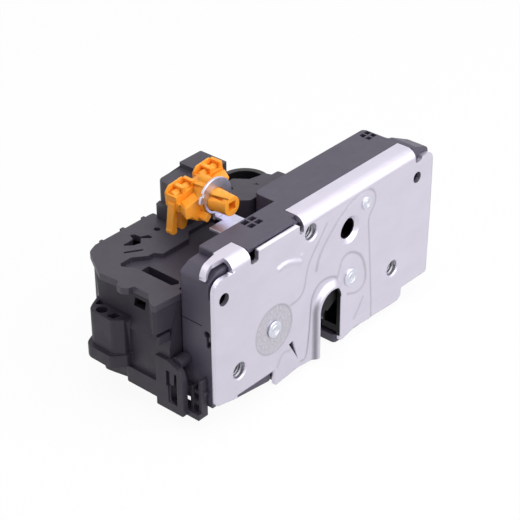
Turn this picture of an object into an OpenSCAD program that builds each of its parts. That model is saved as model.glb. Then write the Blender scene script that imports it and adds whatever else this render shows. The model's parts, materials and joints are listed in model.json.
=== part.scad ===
// Car door lock: rotary-catch latch with its lock actuator and key coupling.
// Millimetres. The origin is midway between the two lower fixing threads, halfway
// along them. +X runs along the face plate, +Y into the door, +Z up.

/* [Face plate] */
// Length of the face plate
plate_w = 115.5; // [112:0.5:124]
// Height of the lock over the top flange
plate_h = 60; // [59:0.5:64]
// Sheet thickness of the face plate
plate_t = 1.6; // [1.2:0.1:1.8]
// Depth of the top flange
flange_d = 8.2; // [6:0.2:11]
// Outer radius of the top bend
bend_r = 3.8; // [3:0.1:4.4]
// How far the pressed rim of the striker slot stands out
rim_out = 1.4; // [0.6:0.1:1.6]

/* [Fixings] */
// Distance between the two lower threads
fix_pitch = 82.2; // [78:0.2:86]
// Lower threads from the plate's near end
fix_x = 11.7; // [10:0.1:12]
// Height of the lower threads
fix_z = 16.5; // [14:0.1:17]
// Upper thread from the near end
fix_top_x = 47.9; // [46.5:0.1:48.5]
// Upper thread below the top of the lock
fix_top_drop = 7.1; // [6.6:0.1:7.5]
// Minor radius of the M6 thread
fix_r = 2.5; // [2:0.1:2.7]
// Depth of the drawn collar that carries the thread
fix_len = 6; // [4:0.2:6.4]

/* [Striker slot] */
// Slot centre from the near end
slot_x = 58.2; // [57.8:0.1:59.2]
// Width of the slot
slot_w = 13; // [11.6:0.1:13.2]
// Top of the slot
slot_top = 25.5; // [24:0.1:27]

/* [Rotary catch] */
// Catch pivot from the near end
catch_x = 69.5; // [69:0.1:70.5]
// Height of the catch pivot
catch_z = 24.9; // [24:0.1:26]
// Outer radius of the catch
catch_r = 18.5; // [17.6:0.1:18.8]
// Steel thickness of the catch and the pawl
lever_t = 3.4; // [3:0.1:3.6]
// Angle between open and shut
catch_swing = 50; // [46:1:52]
// Width of the striker mouth inside its lining
mouth_w = 11; // [10.4:0.1:11.4]
// Thickness of the moulded lining
lining = 0.8; // [0.6:0.1:0.9]

/* [Pawl] */
// Pawl pivot from the near end
pawl_x = 29; // [28.6:0.1:30]
// Height of the pawl pivot
pawl_z = 24; // [23.4:0.1:24.6]
// How deep the pawl drops behind a catch tooth
nose_h = 3.7; // [3:0.1:4]
// Further lift when the lock is released
pawl_lift = 8; // [6:1:9]

/* [Rivets] */
// Shoulder radius of the catch rivet
catch_pin_r = 4; // [3.6:0.1:4.4]
// Shoulder radius of the pawl rivet
pawl_pin_r = 3.5; // [3.2:0.1:3.8]
// Shank radius of both pivot rivets where they pass the sheets
shank_r = 2.8; // [2.4:0.1:3]
// Running clearance in the pivots
run_fit = 0.05; // [0.02:0.01:0.08]
// How far a rivet head stands out
head_out = 1.2; // [0.8:0.1:1.6]

/* [Latch housing] */
// Depth of the tray that holds the catch and pawl
tray_d = 8.4; // [8.3:0.1:8.8]
// Floor of the tray
tray_floor = 1; // [0.8:0.1:1.1]
// Sheet thickness of the back plate
back_t = 1.5; // [1.2:0.1:1.8]
// Depth of the shallow part of the shell
bar_d = 14.8; // [14.4:0.1:15.4]
// Depth of the deep part of the shell
bar_deep = 24; // [22:0.2:25]
// Where the deep part begins
bar_step = 46; // [45:0.5:47]
// Wall of the moulded housings
wall = 2; // [1.6:0.1:2.2]

/* [Actuator] */
// Left wall of the actuator case
case_x = -5.6; // [-7:0.1:-5]
// Rear wall of the actuator case
case_y = 56.3; // [55:0.1:60]
// Underside of the case floor
floor_z = 7; // [6:0.2:9]
// Top of the flat cover
cover_z = 46.2; // [45:0.1:47]
// Thickness of the flat cover
cover_t = 2.6; // [2.2:0.1:3]
// Step down to the middle of the cover
cover_step = 1.9; // [1:0.1:2.1]
// Top of the gear cover
gear_top = 57.4; // [55:0.2:59]
// Top of the connector housing
plug_top = 62; // [60:0.5:66]

/* [Drive] */
// Tooth module of the worm wheel and the pinion
tooth_m = 0.8; // [0.7:0.05:0.8]
// Teeth on the worm wheel
wheel_n = 28; // [26:1:28]
// Teeth on the pinion above the wheel
pinion_n = 14; // [13:1:14]
// Teeth on a full turn of the lock lever's sector
sector_n = 35; // [33:1:36]
// Pitch radius of the worm
worm_r = 2.3; // [2:0.1:2.4]
// Worm wheel axis from the near end
wheel_x = 14; // [13:0.2:15]
// Worm wheel axis from the outer face
wheel_y = 33; // [32:0.2:33.6]
// Height of the worm axis
worm_z = 24; // [22:0.5:26]

/* [Key coupling] */
// Coupling axis from the near end
key_x = 31; // [30:0.2:31.4]
// Height of the coupling axis
key_z = 62.8; // [62:0.2:65]
// Radius of the coupling shaft
key_r = 4.1; // [3.6:0.1:4.5]
// Front end of the shaft
key_y = 19.8; // [18:0.2:22]
// Front of the round bracket plate
disc_y = 27; // [25:0.2:27.4]
// Radius of the round bracket plate
disc_r = 7.7; // [6.8:0.1:8]
// Sheet thickness of the bracket
disc_t = 1; // [0.8:0.1:1.2]
// How far the coupling turns one way until its finger stops
key_swing_a = 20; // [15:1:22]
// How far the coupling turns the other way
key_swing_b = 35; // [25:1:36]

/* [Hidden] */

steel = "lightsteelblue";
zinc = "silver";
black = "dimgray";
dark = "darkslategray";
orange = "orange";
white = "ivory";

// Small gaps
fit = 0.2;
gap = 0.3;
round_steps = 5;
$fn = 48;

// Levels through the depth of the latch
lever_y = plate_t + 0.5 + lining;
lever_back = lever_y + lever_t;
back_y = tray_d + back_t;
shell_in = bar_d - wall;
shell_deep_in = bar_deep - wall;
hub_end = back_y + 4.4;

// Plate outline
bend_z = plate_h - bend_r;
fix_top_z = plate_h - fix_top_drop;
strip_z = plate_h - plate_t;
corner_z = plate_h - 4;
tab_x0 = 7.8;
tab_x1 = 17.5;
strip_x0 = 21.3;
strip_x1 = 41.7;
flange_x0 = 43.9;
flange_x1 = plate_w - 10.5;
slot_r = slot_w / 2;
slot_arch = slot_top - slot_r;
collar_r = fix_r + 1.7;
fix_far_x = fix_x + fix_pitch;

// Catch and pawl
core_r = catch_r - 4.3;
notch_r = catch_r - nose_h - 0.1;
mouth_x = slot_x - catch_x;
mouth_z = -6;
mouth_dir = 158.9;
pivot_gap = norm([catch_x - pawl_x, catch_z - pawl_z]);
pivot_dir = atan2(catch_z - pawl_z, catch_x - pawl_x);
pawl_len = sqrt(pivot_gap * pivot_gap - catch_r * catch_r);
tooth_dir = pivot_dir + 180 - acos(catch_r / pivot_gap);
nose_len = pawl_len - fit;
pawl_dir = pivot_dir + asin(catch_r / pivot_gap);
rest_lift = asin((nose_h + gap) / nose_len);
pawl_rest = pawl_dir + rest_lift;
pawl_hub_r = pawl_pin_r + 4.2;
post_l = 14;
post_r = 1.5;
post_x = pawl_x + post_l * cos(172);
post_z = pawl_z + post_l * sin(172);
pawl_back = lever_back;
release_x = post_x + 6.9;
release_z = post_z + post_r + gap + 8;
release_t = 1.5;
release_y = back_y + 0.5;
release_pin_r = 2.5;
catch_coil_r = 4.4;
hook_l = 10;
hook_dir = 61.5;
coil_wire = 0.55;
pawl_spring_x = pawl_x - 10.6;
pawl_spring_r = 2.2;
spring_floor = 10;
pawl_wire = 0.4;
stop_x = 77.1;
stop_z = plate_h - 8.8;

// Shell
shell_x0 = 0;
shell_x1 = plate_w - 10;
shell_end = plate_w - 1;
shell_bottom = 0;
skin_y = plate_t + 0.05;

// Actuator
case_top = cover_z - cover_t;
slope_z = 27.6;
slope_in = 4.4;
mid_z = cover_z - cover_step;
case_front = bar_d + 0.05;
inner_floor = floor_z + wall;
cup_x = 63;
cup_y = 43;
cup_r = 9.5;
cup_z = 50;
cup_seat = 30;
gear_x = 42;
gear_y = bar_deep + 0.1;
gear_back = gear_y + 14.5;
tail_x = 66.4;
tail_y = gear_y + 6.2;
plug_x0 = 31;
plug_x1 = 53;
plug_y0 = 42;
plug_y1 = 54.3;
plug_raise = 2;

// Gears
wheel_r = tooth_m * wheel_n / 2;
pinion_r = tooth_m * pinion_n / 2;
sector_r = tooth_m * sector_n / 2;
tooth_h = 0.9 * tooth_m;
worm_y = wheel_y + wheel_r + worm_r;
lead_dir = atan(tooth_m / (2 * worm_r));
wheel_face = 4;
wheel_pin_r = 2;
pinion_z = worm_z + 4;
pinion_h = 6;
lock_x = wheel_x + pinion_r + sector_r;
motor_flat = 5.8;
lock_z = worm_z + motor_flat + 0.5;
lock_t = 3;
lock_pin_r = 2.2;
motor_r = 7.3;
motor_x0 = wheel_x + 11.5;
motor_x1 = motor_x0 + 22.5;
shaft_r = 1;

// Coupling
stem_w = 7;
shelf_z = key_z - 8.3;
finger_dir = 226;
finger_w = 3;
body_y = disc_y + disc_t + gap;
socket_tilt = 6;

// Placing and extruding helpers
module placed() translate([-(fix_x + fix_far_x) / 2, -fix_len / 2, -fix_z]) children();
module slab(y0, y1) translate([0, y1, 0]) rotate([90, 0, 0]) linear_extrude(y1 - y0) children();
module run_x(x0, x1) translate([x0, 0, 0]) rotate([90, 0, 90]) linear_extrude(x1 - x0) children();
module rise(z0, z1) translate([0, 0, z0]) linear_extrude(z1 - z0) children();
module block(x0, x1, y0, y1, z0, z1) translate([x0, y0, z0]) cube([x1 - x0, y1 - y0, z1 - z0]);
module rod_y(x, z, r, y0, y1) translate([x, y1, z]) rotate([90, 0, 0]) cylinder(r = r, h = y1 - y0);
module cone_y(x, z, r0, r1, y0, y1)
    translate([x, y1, z]) rotate([90, 0, 0]) cylinder(r1 = r1, r2 = r0, h = y1 - y0);
module rod_x(y, z, r, x0, x1) translate([x0, y, z]) rotate([0, 90, 0]) cylinder(r = r, h = x1 - x0);
module rod_z(x, y, r, z0, z1) translate([x, y, z0]) cylinder(r = r, h = z1 - z0);
module sector(a0, a1, r)
    polygon([[0, 0], for (i = [0:8]) 2 * r * [cos(a0 + (a1 - a0) * i / 8), sin(a0 + (a1 - a0) * i / 8)]]);
module capsule(r, len) {
    circle(r);
    translate([0, -r]) square([len, 2 * r]);
}

// Outline with rounded corners: each point is [x, y, corner radius]
function unit(v) = v / norm(v);
function turned(d) = d > 180 ? d - 360 : d < -180 ? d + 360 : d;
function fillet(p, q, s, r) = let(
    a = unit(p - q),
    b = unit(s - q),
    half = acos(a * b) / 2,
    c = q + unit(a + b) * r / sin(half),
    u = q + a * r / tan(half) - c,
    v = q + b * r / tan(half) - c,
    a0 = atan2(u.y, u.x),
    d = turned(atan2(v.y, v.x) - a0))
    [for (i = [0:round_steps]) c + r * [cos(a0 + d * i / round_steps), sin(a0 + d * i / round_steps)]];
function flat(p) = [p.x, p.y];
function rounded(pts) = let(n = len(pts)) [for (i = [0:n - 1])
    each (pts[i][2] > 0
        ? fillet(flat(pts[(i + n - 1) % n]), flat(pts[i]), flat(pts[(i + 1) % n]), pts[i][2])
        : [flat(pts[i])])];
module outline(pts) polygon(rounded(pts));

// Round wire swept along points
function ring_pts(p, q, r, n) = let(
    w = unit(q - p),
    u = unit(cross(w, abs(w.y) < 0.9 ? [0, 1, 0] : [1, 0, 0])),
    v = cross(w, u))
    [for (k = [0:n - 1]) r * (u * cos(360 * k / n) + v * sin(360 * k / n))];
module wire(path, r, n = 8) {
    m = len(path);
    pts = [for (i = [0:m - 1]) let(
        a = path[max(i - 1, 0)],
        b = path[min(i + 1, m - 1)])
        each [for (o = ring_pts(a, b, r, n)) path[i] + o]];
    sides = [for (i = [0:m - 2]) for (k = [0:n - 1])
        each [[i * n + k, (i + 1) * n + k, i * n + (k + 1) % n],
            [i * n + (k + 1) % n, (i + 1) * n + k, (i + 1) * n + (k + 1) % n]]];
    polyhedron(points = pts, faces = concat(
        [[for (k = [0:n - 1]) k]], sides, [[for (k = [0:n - 1]) (m - 1) * n + n - 1 - k]]));
}

// Face plate
module plate_sheet() {
    difference() {
        outline([[0, 8.4, 1], [10.3, 6.2, 0], [10.3, 7.3, 0], [29.5, 7.1, 0], [29.5, 0.6, 0.3],
            [40.6, 1.6, 3], [49.7, 0.6, 0], [slot_x - slot_r, 0.6, 0], [slot_x, 14, 0],
            [slot_x + slot_r, 0.6, 0], [66, 0.6, 0], [72.8, 2.2, 2], [82.3, 1.5, 2], [97.8, 0.8, 1],
            [99.6, 2.2, 0.5], [99.8, 5.4, 0.8], [plate_w - 0.6, 5.2, 1], [plate_w, 30, 0],
            [plate_w, corner_z, 3.4], [flange_x1 + 4, corner_z, 0], [flange_x1 + 3.4, bend_z - 1.5, 1],
            [flange_x1, bend_z - 1.5, 1], [flange_x1, bend_z, 0], [flange_x0, bend_z, 0],
            [flange_x0, bend_z - 1.6, 1], [strip_x1, bend_z - 1.6, 1], [strip_x1, strip_z, 0.6],
            [strip_x0, strip_z, 0.6], [strip_x0, bend_z - 1.6, 1], [tab_x1, bend_z - 1.6, 1],
            [tab_x1, bend_z, 0], [tab_x0 + 2.6, bend_z, 0], [tab_x0, corner_z - 0.3, 1.4],
            [0, corner_z, 4.2]]);
        translate([slot_x, slot_arch]) circle(slot_r);
        translate([slot_x - slot_r, 0]) square([slot_w, slot_arch]);
        for (p = corner_holes) translate([p.x, p.y]) circle(p[2]);
        translate(drawn_hole) circle(drawn_r);
        polygon([[36.6, 13.7], [39, 14.3], [41.3, 5.5]]);
        for (p = [[catch_x, catch_z, shank_r], [pawl_x, pawl_z, shank_r], [stop_x, stop_z, 1.8]])
            translate([p.x, p.y]) circle(p[2]);
        for (p = thread_points) translate(p) circle(fix_r);
    }
}
drawn_hole = [68.4, plate_h - 15.5];
corner_holes = [[4.7, plate_h - 12, 2.3], [plate_w - 9.1, plate_h - 11.4, 2.15]];
drawn_r = 3.8;
thread_points = [[fix_x, fix_z], [fix_far_x, fix_z], [fix_top_x, fix_top_z]];
module bend(x0, x1) run_x(x0, x1) {
    intersection() {
        difference() {
            translate([bend_r, bend_z]) circle(bend_r);
            translate([bend_r, bend_z]) circle(bend_r - plate_t);
        }
        translate([0, bend_z]) square(bend_r);
    }
    translate([bend_r, strip_z]) square([flange_d - bend_r, plate_t]);
}
// Tongue that folds back over the corner and curls down at its tip
module tongue() {
    drop = 4;
    intersection() {
        slab(0, flange_d) {
            translate([3.2, strip_z]) square([tab_x0 + 2 - 3.2, plate_t]);
            intersection() {
                difference() {
                    translate([3.2, plate_h - drop]) circle(drop);
                    translate([3.2, plate_h - drop]) circle(drop - plate_t);
                }
                translate([3.2 - drop, plate_h - drop]) square(drop);
            }
        }
        rise(plate_h - drop - 1, plate_h + 1)
            outline([[tab_x0 + 2, 3.8, 0], [tab_x0 + 2, flange_d - 0.4, 0.5], [3.2, 6.4, 1],
                [-1, 5.4, 0.6], [-1, 2.8, 0.6], [3.6, 4, 1]]);
    }
}
module face_plate() color(steel) placed() {
    difference() {
        union() {
            slab(0, plate_t) plate_sheet();
            bend(tab_x0 + 1, tab_x1);
            bend(flange_x0, flange_x1);
            tongue();
            for (p = thread_points) rod_y(p.x, p.y, collar_r, plate_t - 0.1, fix_len);
            slot_rim();
            slot_ramp();
        }
        for (p = thread_points) {
            rod_y(p.x, p.y, fix_r, -1, fix_len + 1);
            cone_y(p.x, p.y, fix_r + 0.9, fix_r, -0.01, 0.9);
        }
        cone_y(drawn_hole.x, drawn_hole.y, drawn_r + 1.4, drawn_r, -0.01, 1.2);
    }
}
// The sheet is pressed outwards along the left side and the arch of the slot
module slot_rim() slab(-rim_out, 0.1) difference() {
    intersection() {
        union() {
            translate([slot_x, slot_arch]) circle(slot_r + 1.6);
            translate([slot_x - slot_r - 1.6, 0.6]) square([2, slot_arch - 0.6]);
        }
        translate([slot_x - slot_r - 2, 0.6]) square([slot_w + 2, slot_top + 2]);
    }
    translate([slot_x, slot_arch]) circle(slot_r);
    translate([slot_x - slot_r, 0]) square([slot_w, slot_arch]);
}

// Sloping band that leads up to the rim
module slot_ramp() intersection() {
    difference() {
        union() {
            cone_y(slot_x - 1, slot_arch + 0.6, slot_r + 1.6, slot_r + 4.8, 0.2 - rim_out, 0.1);
            rise(1.4, slot_arch) polygon([[slot_x - slot_r - 5.4, 0.1], [slot_x - slot_r - 2.2, 0.2 - rim_out],
                [slot_x - slot_r, 0.2 - rim_out], [slot_x - slot_r, 0.1]]);
        }
        slab(-rim_out - 1, 1) {
            translate([slot_x, slot_arch]) circle(slot_r);
            translate([slot_x - slot_r, 0]) square([slot_w, slot_arch]);
        }
        rod_y(catch_x, catch_z, 4.4, -rim_out - 1, 1);
    }
    slab(-rim_out - 1, 1) polygon([[slot_x - slot_r - 6, 1.4], [slot_x, 1.4], [slot_x, slot_arch],
        [slot_x + 6.4, slot_top + 1.4], [slot_x + 4, slot_top + 8], [slot_x - slot_r - 6, slot_top + 8]]);
}

// Steel plate that closes the tray from behind
back_top = bend_z - 1.7;
module back_plate() color(zinc) placed() slab(tray_d, back_y) difference() {
    outline([[9, 24, 3], [17, 10.6, 3], [32, 9.6, 0], [slot_x - 9, 5, 2], [slot_x - 7, 5, 0], [slot_x, 20, 0],
        [slot_x + 7, 5, 0], [shell_x1 - 7, 5, 4], [shell_x1 - 2.6, 10, 2], [shell_x1 - 2.6, plate_h - 10, 4],
        [stop_x + 5, stop_z + 4, 4], [66, plate_h - 10, 3], [52, plate_h - 13, 3],
        [flange_x0 - 4, back_top, 2], [tab_x1 + 4.5, back_top, 2], [9, plate_h - 14, 4]]);
    translate([slot_x, slot_arch]) circle(slot_r + 1);
    translate([slot_x - slot_r - 1, 0]) square([slot_w + 2, slot_arch]);
    for (p = [[catch_x, catch_z, shank_r], [pawl_x, pawl_z, shank_r], [stop_x, stop_z, 1.8],
        [release_x, release_z, release_pin_r - 0.7]])
        translate([p.x, p.y]) circle(p[2]);
    for (p = screw_points) translate(p) circle(screw_r);
    post_window();
    catch_window();
}

// Stepped rivets: head, shank in the plate, shoulder as pivot, shank in the back plate
module rivet(x, z, head_r, pin_r, rear_r, rear_y) {
    rod_y(x, z, head_r, -head_out, 0);
    rod_y(x, z, shank_r, -0.1, back_y + 0.1);
    rod_y(x, z, pin_r, plate_t, tray_d);
    rod_y(x, z, rear_r, back_y, rear_y);
}
module catch_rivet() color(white) placed() rivet(catch_x, catch_z, 3.95, catch_pin_r,
    catch_coil_r - coil_wire - gap, hub_end);
module pawl_rivet() color(white) placed() rivet(pawl_x, pawl_z, 3.55, pawl_pin_r, 4.4, back_y + 1.2);
module stop_rivet() color(white) placed() {
    difference() {
        rod_y(stop_x, stop_z, 2.9, -head_out, 0);
        cone_y(stop_x, stop_z, 1, 0.2, -head_out - 0.01, -head_out + 0.4);
    }
    rod_y(stop_x, stop_z, 1.8, -0.1, back_y + 0.1);
    rod_y(stop_x, stop_z, 3, back_y, back_y + 1);
}

// Plastic tray between the plates, with the pocket for catch and pawl
module tray_pocket() {
    translate([catch_x, catch_z]) circle(catch_r + 0.8);
    translate([slot_x - slot_r, -1]) square([slot_w, slot_arch + 1]);
    translate([pawl_x, pawl_z]) {
        circle(pawl_hub_r + 1);
        for (a = [-1, pawl_lift + 1]) rotate(pawl_rest + a)
            polygon([[0, -8], [16, -7], [nose_len + 1.4, -6], [nose_len + 1.4, 6], [0, 8]]);
        for (a = [171, 172 + pawl_lift]) rotate(a) translate([0, -4.6]) square([post_l + 3.4, 9.2]);
    }
    translate([pawl_spring_x - 2.9, spring_floor]) square([5.8, 12]);
}
module tray_outline() outline([[wall + fit, 9, 1], [31.2, 9, 0], [31.2, 3.2, 1],
    [shell_x1 - wall - fit, 3.2, 2], [shell_x1 - wall - fit, bend_z - 1.6, 3], [flange_x0, bend_z - 1.6, 0],
    [wall + fit, bend_z - 1.6, 2]]);
module tray_holes() {
    translate([slot_x, slot_arch]) circle(slot_r);
    translate([slot_x - slot_r, -1]) square([slot_w, slot_arch + 1]);
    for (p = [[catch_x, catch_z, catch_pin_r], [pawl_x, pawl_z, pawl_pin_r], [stop_x, stop_z, 1.8]])
        translate([p.x, p.y]) circle(p[2] + 0.1);
    post_window();
    catch_window();
}
// Arc window that the catch's spring post sweeps through
module catch_window() translate([catch_x, catch_z]) intersection() {
    difference() {
        circle(hook_l + post_r + 0.4);
        circle(hook_l - post_r - 0.4);
    }
    sector(hook_dir - 12, hook_dir + catch_swing + 12, hook_l);
}
// Window that the pawl's post sweeps through
module post_window() translate([post_x - post_r - 1, post_z - post_r - 3.6])
    square([2 * post_r + 2.4, 2 * post_r + 4.4]);
module latch_housing() color(black) placed() {
    slab(tray_d - tray_floor, tray_d) difference() {
        tray_outline();
        tray_holes();
    }
    tray_walls();
}
module tray_walls() slab(plate_t, tray_d - tray_floor + 0.1) difference() {
    tray_outline();
    tray_pocket();
    for (p = thread_points) translate(p) circle(collar_r + fit);
    translate([stop_x, stop_z]) circle(1.9);
    translate(drawn_hole) circle(drawn_r + gap);
    translate([corner_holes[0].x, corner_holes[0].y]) circle(corner_holes[0][2] + 0.1);
    bumper_seat(0);
}
// Rubber stop that the open catch's lobe leans on
bump_r = 2.3;
bump_dir = 30;
module bumper_seat(extra)
    translate([catch_x + (catch_r - 1.2) * cos(bump_dir), catch_z + (catch_r - 1.2) * sin(bump_dir)])
        circle(bump_r + extra);
module catch_bumper() color(dark) placed() slab(plate_t + fit, tray_d - tray_floor) bumper_seat(0);

// Outer moulded shell behind the face plate
module shell_plan() outline([[shell_x0, skin_y, 0], [shell_end, skin_y, 0], [shell_end, 9, 2],
    [shell_x1, 13, 2], [shell_x1, bar_deep, 1.5], [bar_step, bar_deep, 2.5], [bar_step, bar_d, 0],
    [shell_x0, bar_d, 1]]);
module shell_room() outline([[shell_x0 + wall, -1, 0], [shell_x1 - wall, -1, 0],
    [shell_x1 - wall, shell_deep_in, 1], [bar_step + wall, shell_deep_in, 1], [bar_step + wall, shell_in, 0],
    [shell_x0 + wall, shell_in, 0.5]]);
module shell_front() outline([[shell_x0 - 0.5, corner_z - 1.6, 3], [4.6, corner_z + 1.2, 3],
    [9.2, corner_z + 1.4, 0], [9.2, plate_h, 0.6], [shell_x1 + 1.5, plate_h, 1.2],
    [shell_end, plate_h - 2.8, 2.5], [shell_end, 6.4, 2], [shell_x1 - 5, 6.4, 0],
    [shell_x1 - 5, shell_bottom, 1], [31, shell_bottom, 1], [31, 6.8, 0], [29.3, 6.8, 0], [28.6, 2.2, 0.8],
    [10, 4.6, 0.8], [9.6, 6.8, 0], [shell_x0 - 0.5, 6.8, 0]]);
channel_y = bar_deep - wall - 2;
module latch_shell() color(black) placed() {
    difference() {
        intersection() {
            rise(-1, plate_h + 1) shell_plan();
            slab(0, bar_deep + 1) shell_front();
        }
        difference() {
            rise(shell_bottom + wall, plate_h - 2.6) shell_room();
            block(shell_x0, 31, -1, bar_deep, -1, 8.8);
            block(shell_x0, 11.4, -2, bar_d, bend_z - 1.4, plate_h);
            channel_walls(slot_r + wall, slot_top + wall, back_y + fit, channel_y + wall);
        }
        channel_walls(slot_r, slot_top, -1, channel_y);
        rod_y(catch_x, catch_z, catch_coil_r + coil_wire + gap, back_y, hub_end + gap);
        flange_seats();
        for (p = thread_points) rod_y(p.x, p.y, collar_r + fit, -1, fix_len + 0.4);
        shelf_slot();
        for (x = [28.2, 31.6]) for (y = [9.2, 12]) block(x, x + 2.7, y, y + 2.2, plate_h - 4, plate_h + 1);
        for (x = [plate_w - 15, plate_w - 12.4]) for (y = [17.4, 20])
            block(x, x + 2, y, y + 2, plate_h - 4, plate_h + 1);
        rod_y(corner_holes[1].x, corner_holes[1].y, corner_holes[1][2] + 0.1, -1, 7);
        end_details();
        for (p = screw_points) rod_y(p.x, p.y, screw_r, back_y, bar_deep + 1);
    }
    for (p = screw_points) difference() {
        rod_y(p.x, p.y, screw_r + 2, back_y, shell_deep_in + 0.1);
        rod_y(p.x, p.y, screw_r, back_y - 1, bar_deep + 1);
    }
    // foot of the lining beside the slot's mouth
    rise(shell_bottom - 1.2, shell_bottom + wall + 0.2) outline([[slot_x + slot_r - 1, skin_y + 0.3, 1.4],
        [slot_x + slot_r + 7, skin_y + 0.3, 0.5], [slot_x + slot_r + 7, 7, 1], [slot_x + slot_r - 1, 9, 0.4]]);
}
// Channel that takes the striker, closed at the back and open below
module channel_walls(r, top, y0, y1) slab(y0, y1) {
    translate([slot_x, top - r]) circle(r);
    translate([slot_x - r, -1]) square([2 * r, top - r + 1]);
}
module flange_seats() {
    block(flange_x0 - fit, flange_x1 + fit, -1, flange_d + fit, strip_z - 0.1, plate_h + 1);
    block(tab_x0 - 1, tab_x1 + fit, -1, flange_d + fit, strip_z - 0.1, plate_h + 1);
    block(strip_x0 - 4, flange_x0 + 0.4, -1, plate_t + 0.8, bend_z - 1, strip_z + 0.3);
    run_x(flange_x0 - 2.6, flange_x1 + fit) bend_room();
    run_x(tab_x0 - 2, tab_x1 + fit) bend_room();
    block(-3, tab_x0 + 3, -1, 2.4, corner_z - 7, plate_h + 1);
    slab(2.2, flange_d - 0.6) outline([[-3, plate_h - 5, 0], [-0.4, plate_h - 5, 0],
        [0.8, strip_z - 1, 1.5], [3.4, strip_z - 0.15, 1], [12, strip_z - 0.15, 0], [12, plate_h + 1, 0],
        [-3, plate_h + 1, 0]]);
}
module bend_room() difference() {
    translate([-1, bend_z - 3]) square([bend_r + 1, bend_r + 4]);
    translate([bend_r, bend_z]) circle(bend_r - plate_t - 0.1);
    translate([bend_r - plate_t, -1]) square([9, bend_z + 1]);
}
// Keyhole cut beside the plate and the parting line on the end face
module end_details() {
    block(-2, 0.5, 5.4, bar_d + 1, 37.8, 38.2);
    rod_x(3.4, 35.4, 1.2, -2, 4);
    block(-2, 4, 2.6, 3.6, 30.4, 35.4);
    block(-2, 1, -1, 2.6, 31, 33);
}

// Self-tapping screws that hold the shell to the back plate's bosses
screw_r = 1.4;
screw_points = [[catch_x + 2, plate_h - 16], [shell_x1 - 6, 14], [shell_x1 - 6, plate_h - 14]];
module shell_screws() color(zinc) placed() for (p = screw_points) difference() {
    union() {
        rod_y(p.x, p.y, screw_r, tray_d + 0.1, bar_deep + 0.1);
        rod_y(p.x, p.y, 2.8, bar_deep, bar_deep + 1.6);
    }
    translate([p.x, bar_deep + 0.6, p.y]) rotate([-90, 0, 0]) cylinder(r = 1.3, h = 2, $fn = 6);
}

// Rotary catch, drawn shut and turned to its open rest
module catch_mouth(w) translate([mouth_x, mouth_z]) rotate(mouth_dir) capsule(w / 2, 20);
module catch_body() {
    difference() {
        union() {
            circle(core_r);
            intersection() {
                circle(catch_r);
                union() {
                    sector(55, 171, catch_r);
                    sector(190, 262, catch_r);
                    sector(300, 326, catch_r);
                }
            }
        }
        for (a = [[tooth_dir, tooth_dir + 22.5], [tooth_dir - 23, tooth_dir - 14]])
            difference() {
                sector(a[0], a[1], catch_r);
                circle(notch_r);
            }
    }
}
module turned_catch(y0, y1)
    translate([catch_x, 0, catch_z]) slab(y0, y1) rotate(catch_swing) children();
module hook_point() rotate(hook_dir) translate([hook_l, 0]) children();
module rotary_catch() color(zinc) placed() {
    turned_catch(lever_y, lever_back) difference() {
        catch_body();
        catch_mouth(mouth_w + 2 * lining);
        circle(catch_pin_r + run_fit);
    }
    turned_catch(lever_back - 0.1, hub_end) hook_point() circle(post_r);
}
// Moulded lining of the mouth with its two face skins
module catch_lining() color(dark) placed() {
    turned_catch(lever_y, lever_back) difference() {
        intersection() {
            catch_body();
            catch_mouth(mouth_w + 2 * lining);
        }
        catch_mouth(mouth_w);
    }
    for (y = [lever_y - lining, lever_back]) turned_catch(y, y + lining) difference() {
        intersection() {
            catch_body();
            circle(catch_r - 0.5);
        }
        catch_mouth(mouth_w);
        difference() {
            sector(tooth_dir - 26, tooth_dir + 26, catch_r);
            circle(notch_r);
        }
        circle(catch_pin_r + 0.8);
        hook_point() circle(post_r);
    }
}

// Pawl: a strut whose nose drops behind a catch tooth
module pawl_body() {
    circle(pawl_hub_r);
    rotate(pawl_rest) polygon([[0, -7.2], [14, -6], [nose_len - 13.8, -5], [nose_len - 9.8, -2.2],
        [nose_len - 7.8, -1], [nose_len - 5.4, -0.6], [nose_len - 4.9, -nose_h], [nose_len, -nose_h],
        [nose_len, 2.6], [nose_len - 1, 3.2], [20, 4.4], [0, 7.2]]);
    rotate(172) translate([0, -3.4]) square([post_l, 6.8]);
    translate([post_x - pawl_x, post_z - pawl_z]) circle(3.4);
}
module pawl() color(zinc) placed() {
    translate([pawl_x, 0, pawl_z]) slab(lever_y, pawl_back) difference() {
        pawl_body();
        circle(pawl_pin_r + run_fit);
    }
    rod_y(post_x, post_z, post_r, pawl_back - 0.1, release_y + release_t + 0.4);
}
// Sound-damping moulding on the pawl
module pawl_damper() color(dark) placed() translate([pawl_x, 0, pawl_z])
    for (y = [lever_y - lining, lever_back]) slab(y, y + lining) difference() {
        intersection() {
            pawl_body();
            rotate(pawl_rest) translate([-7, -6]) square([nose_len - 1, 12]);
        }
        circle(pawl_pin_r + 0.8);
    }

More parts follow.
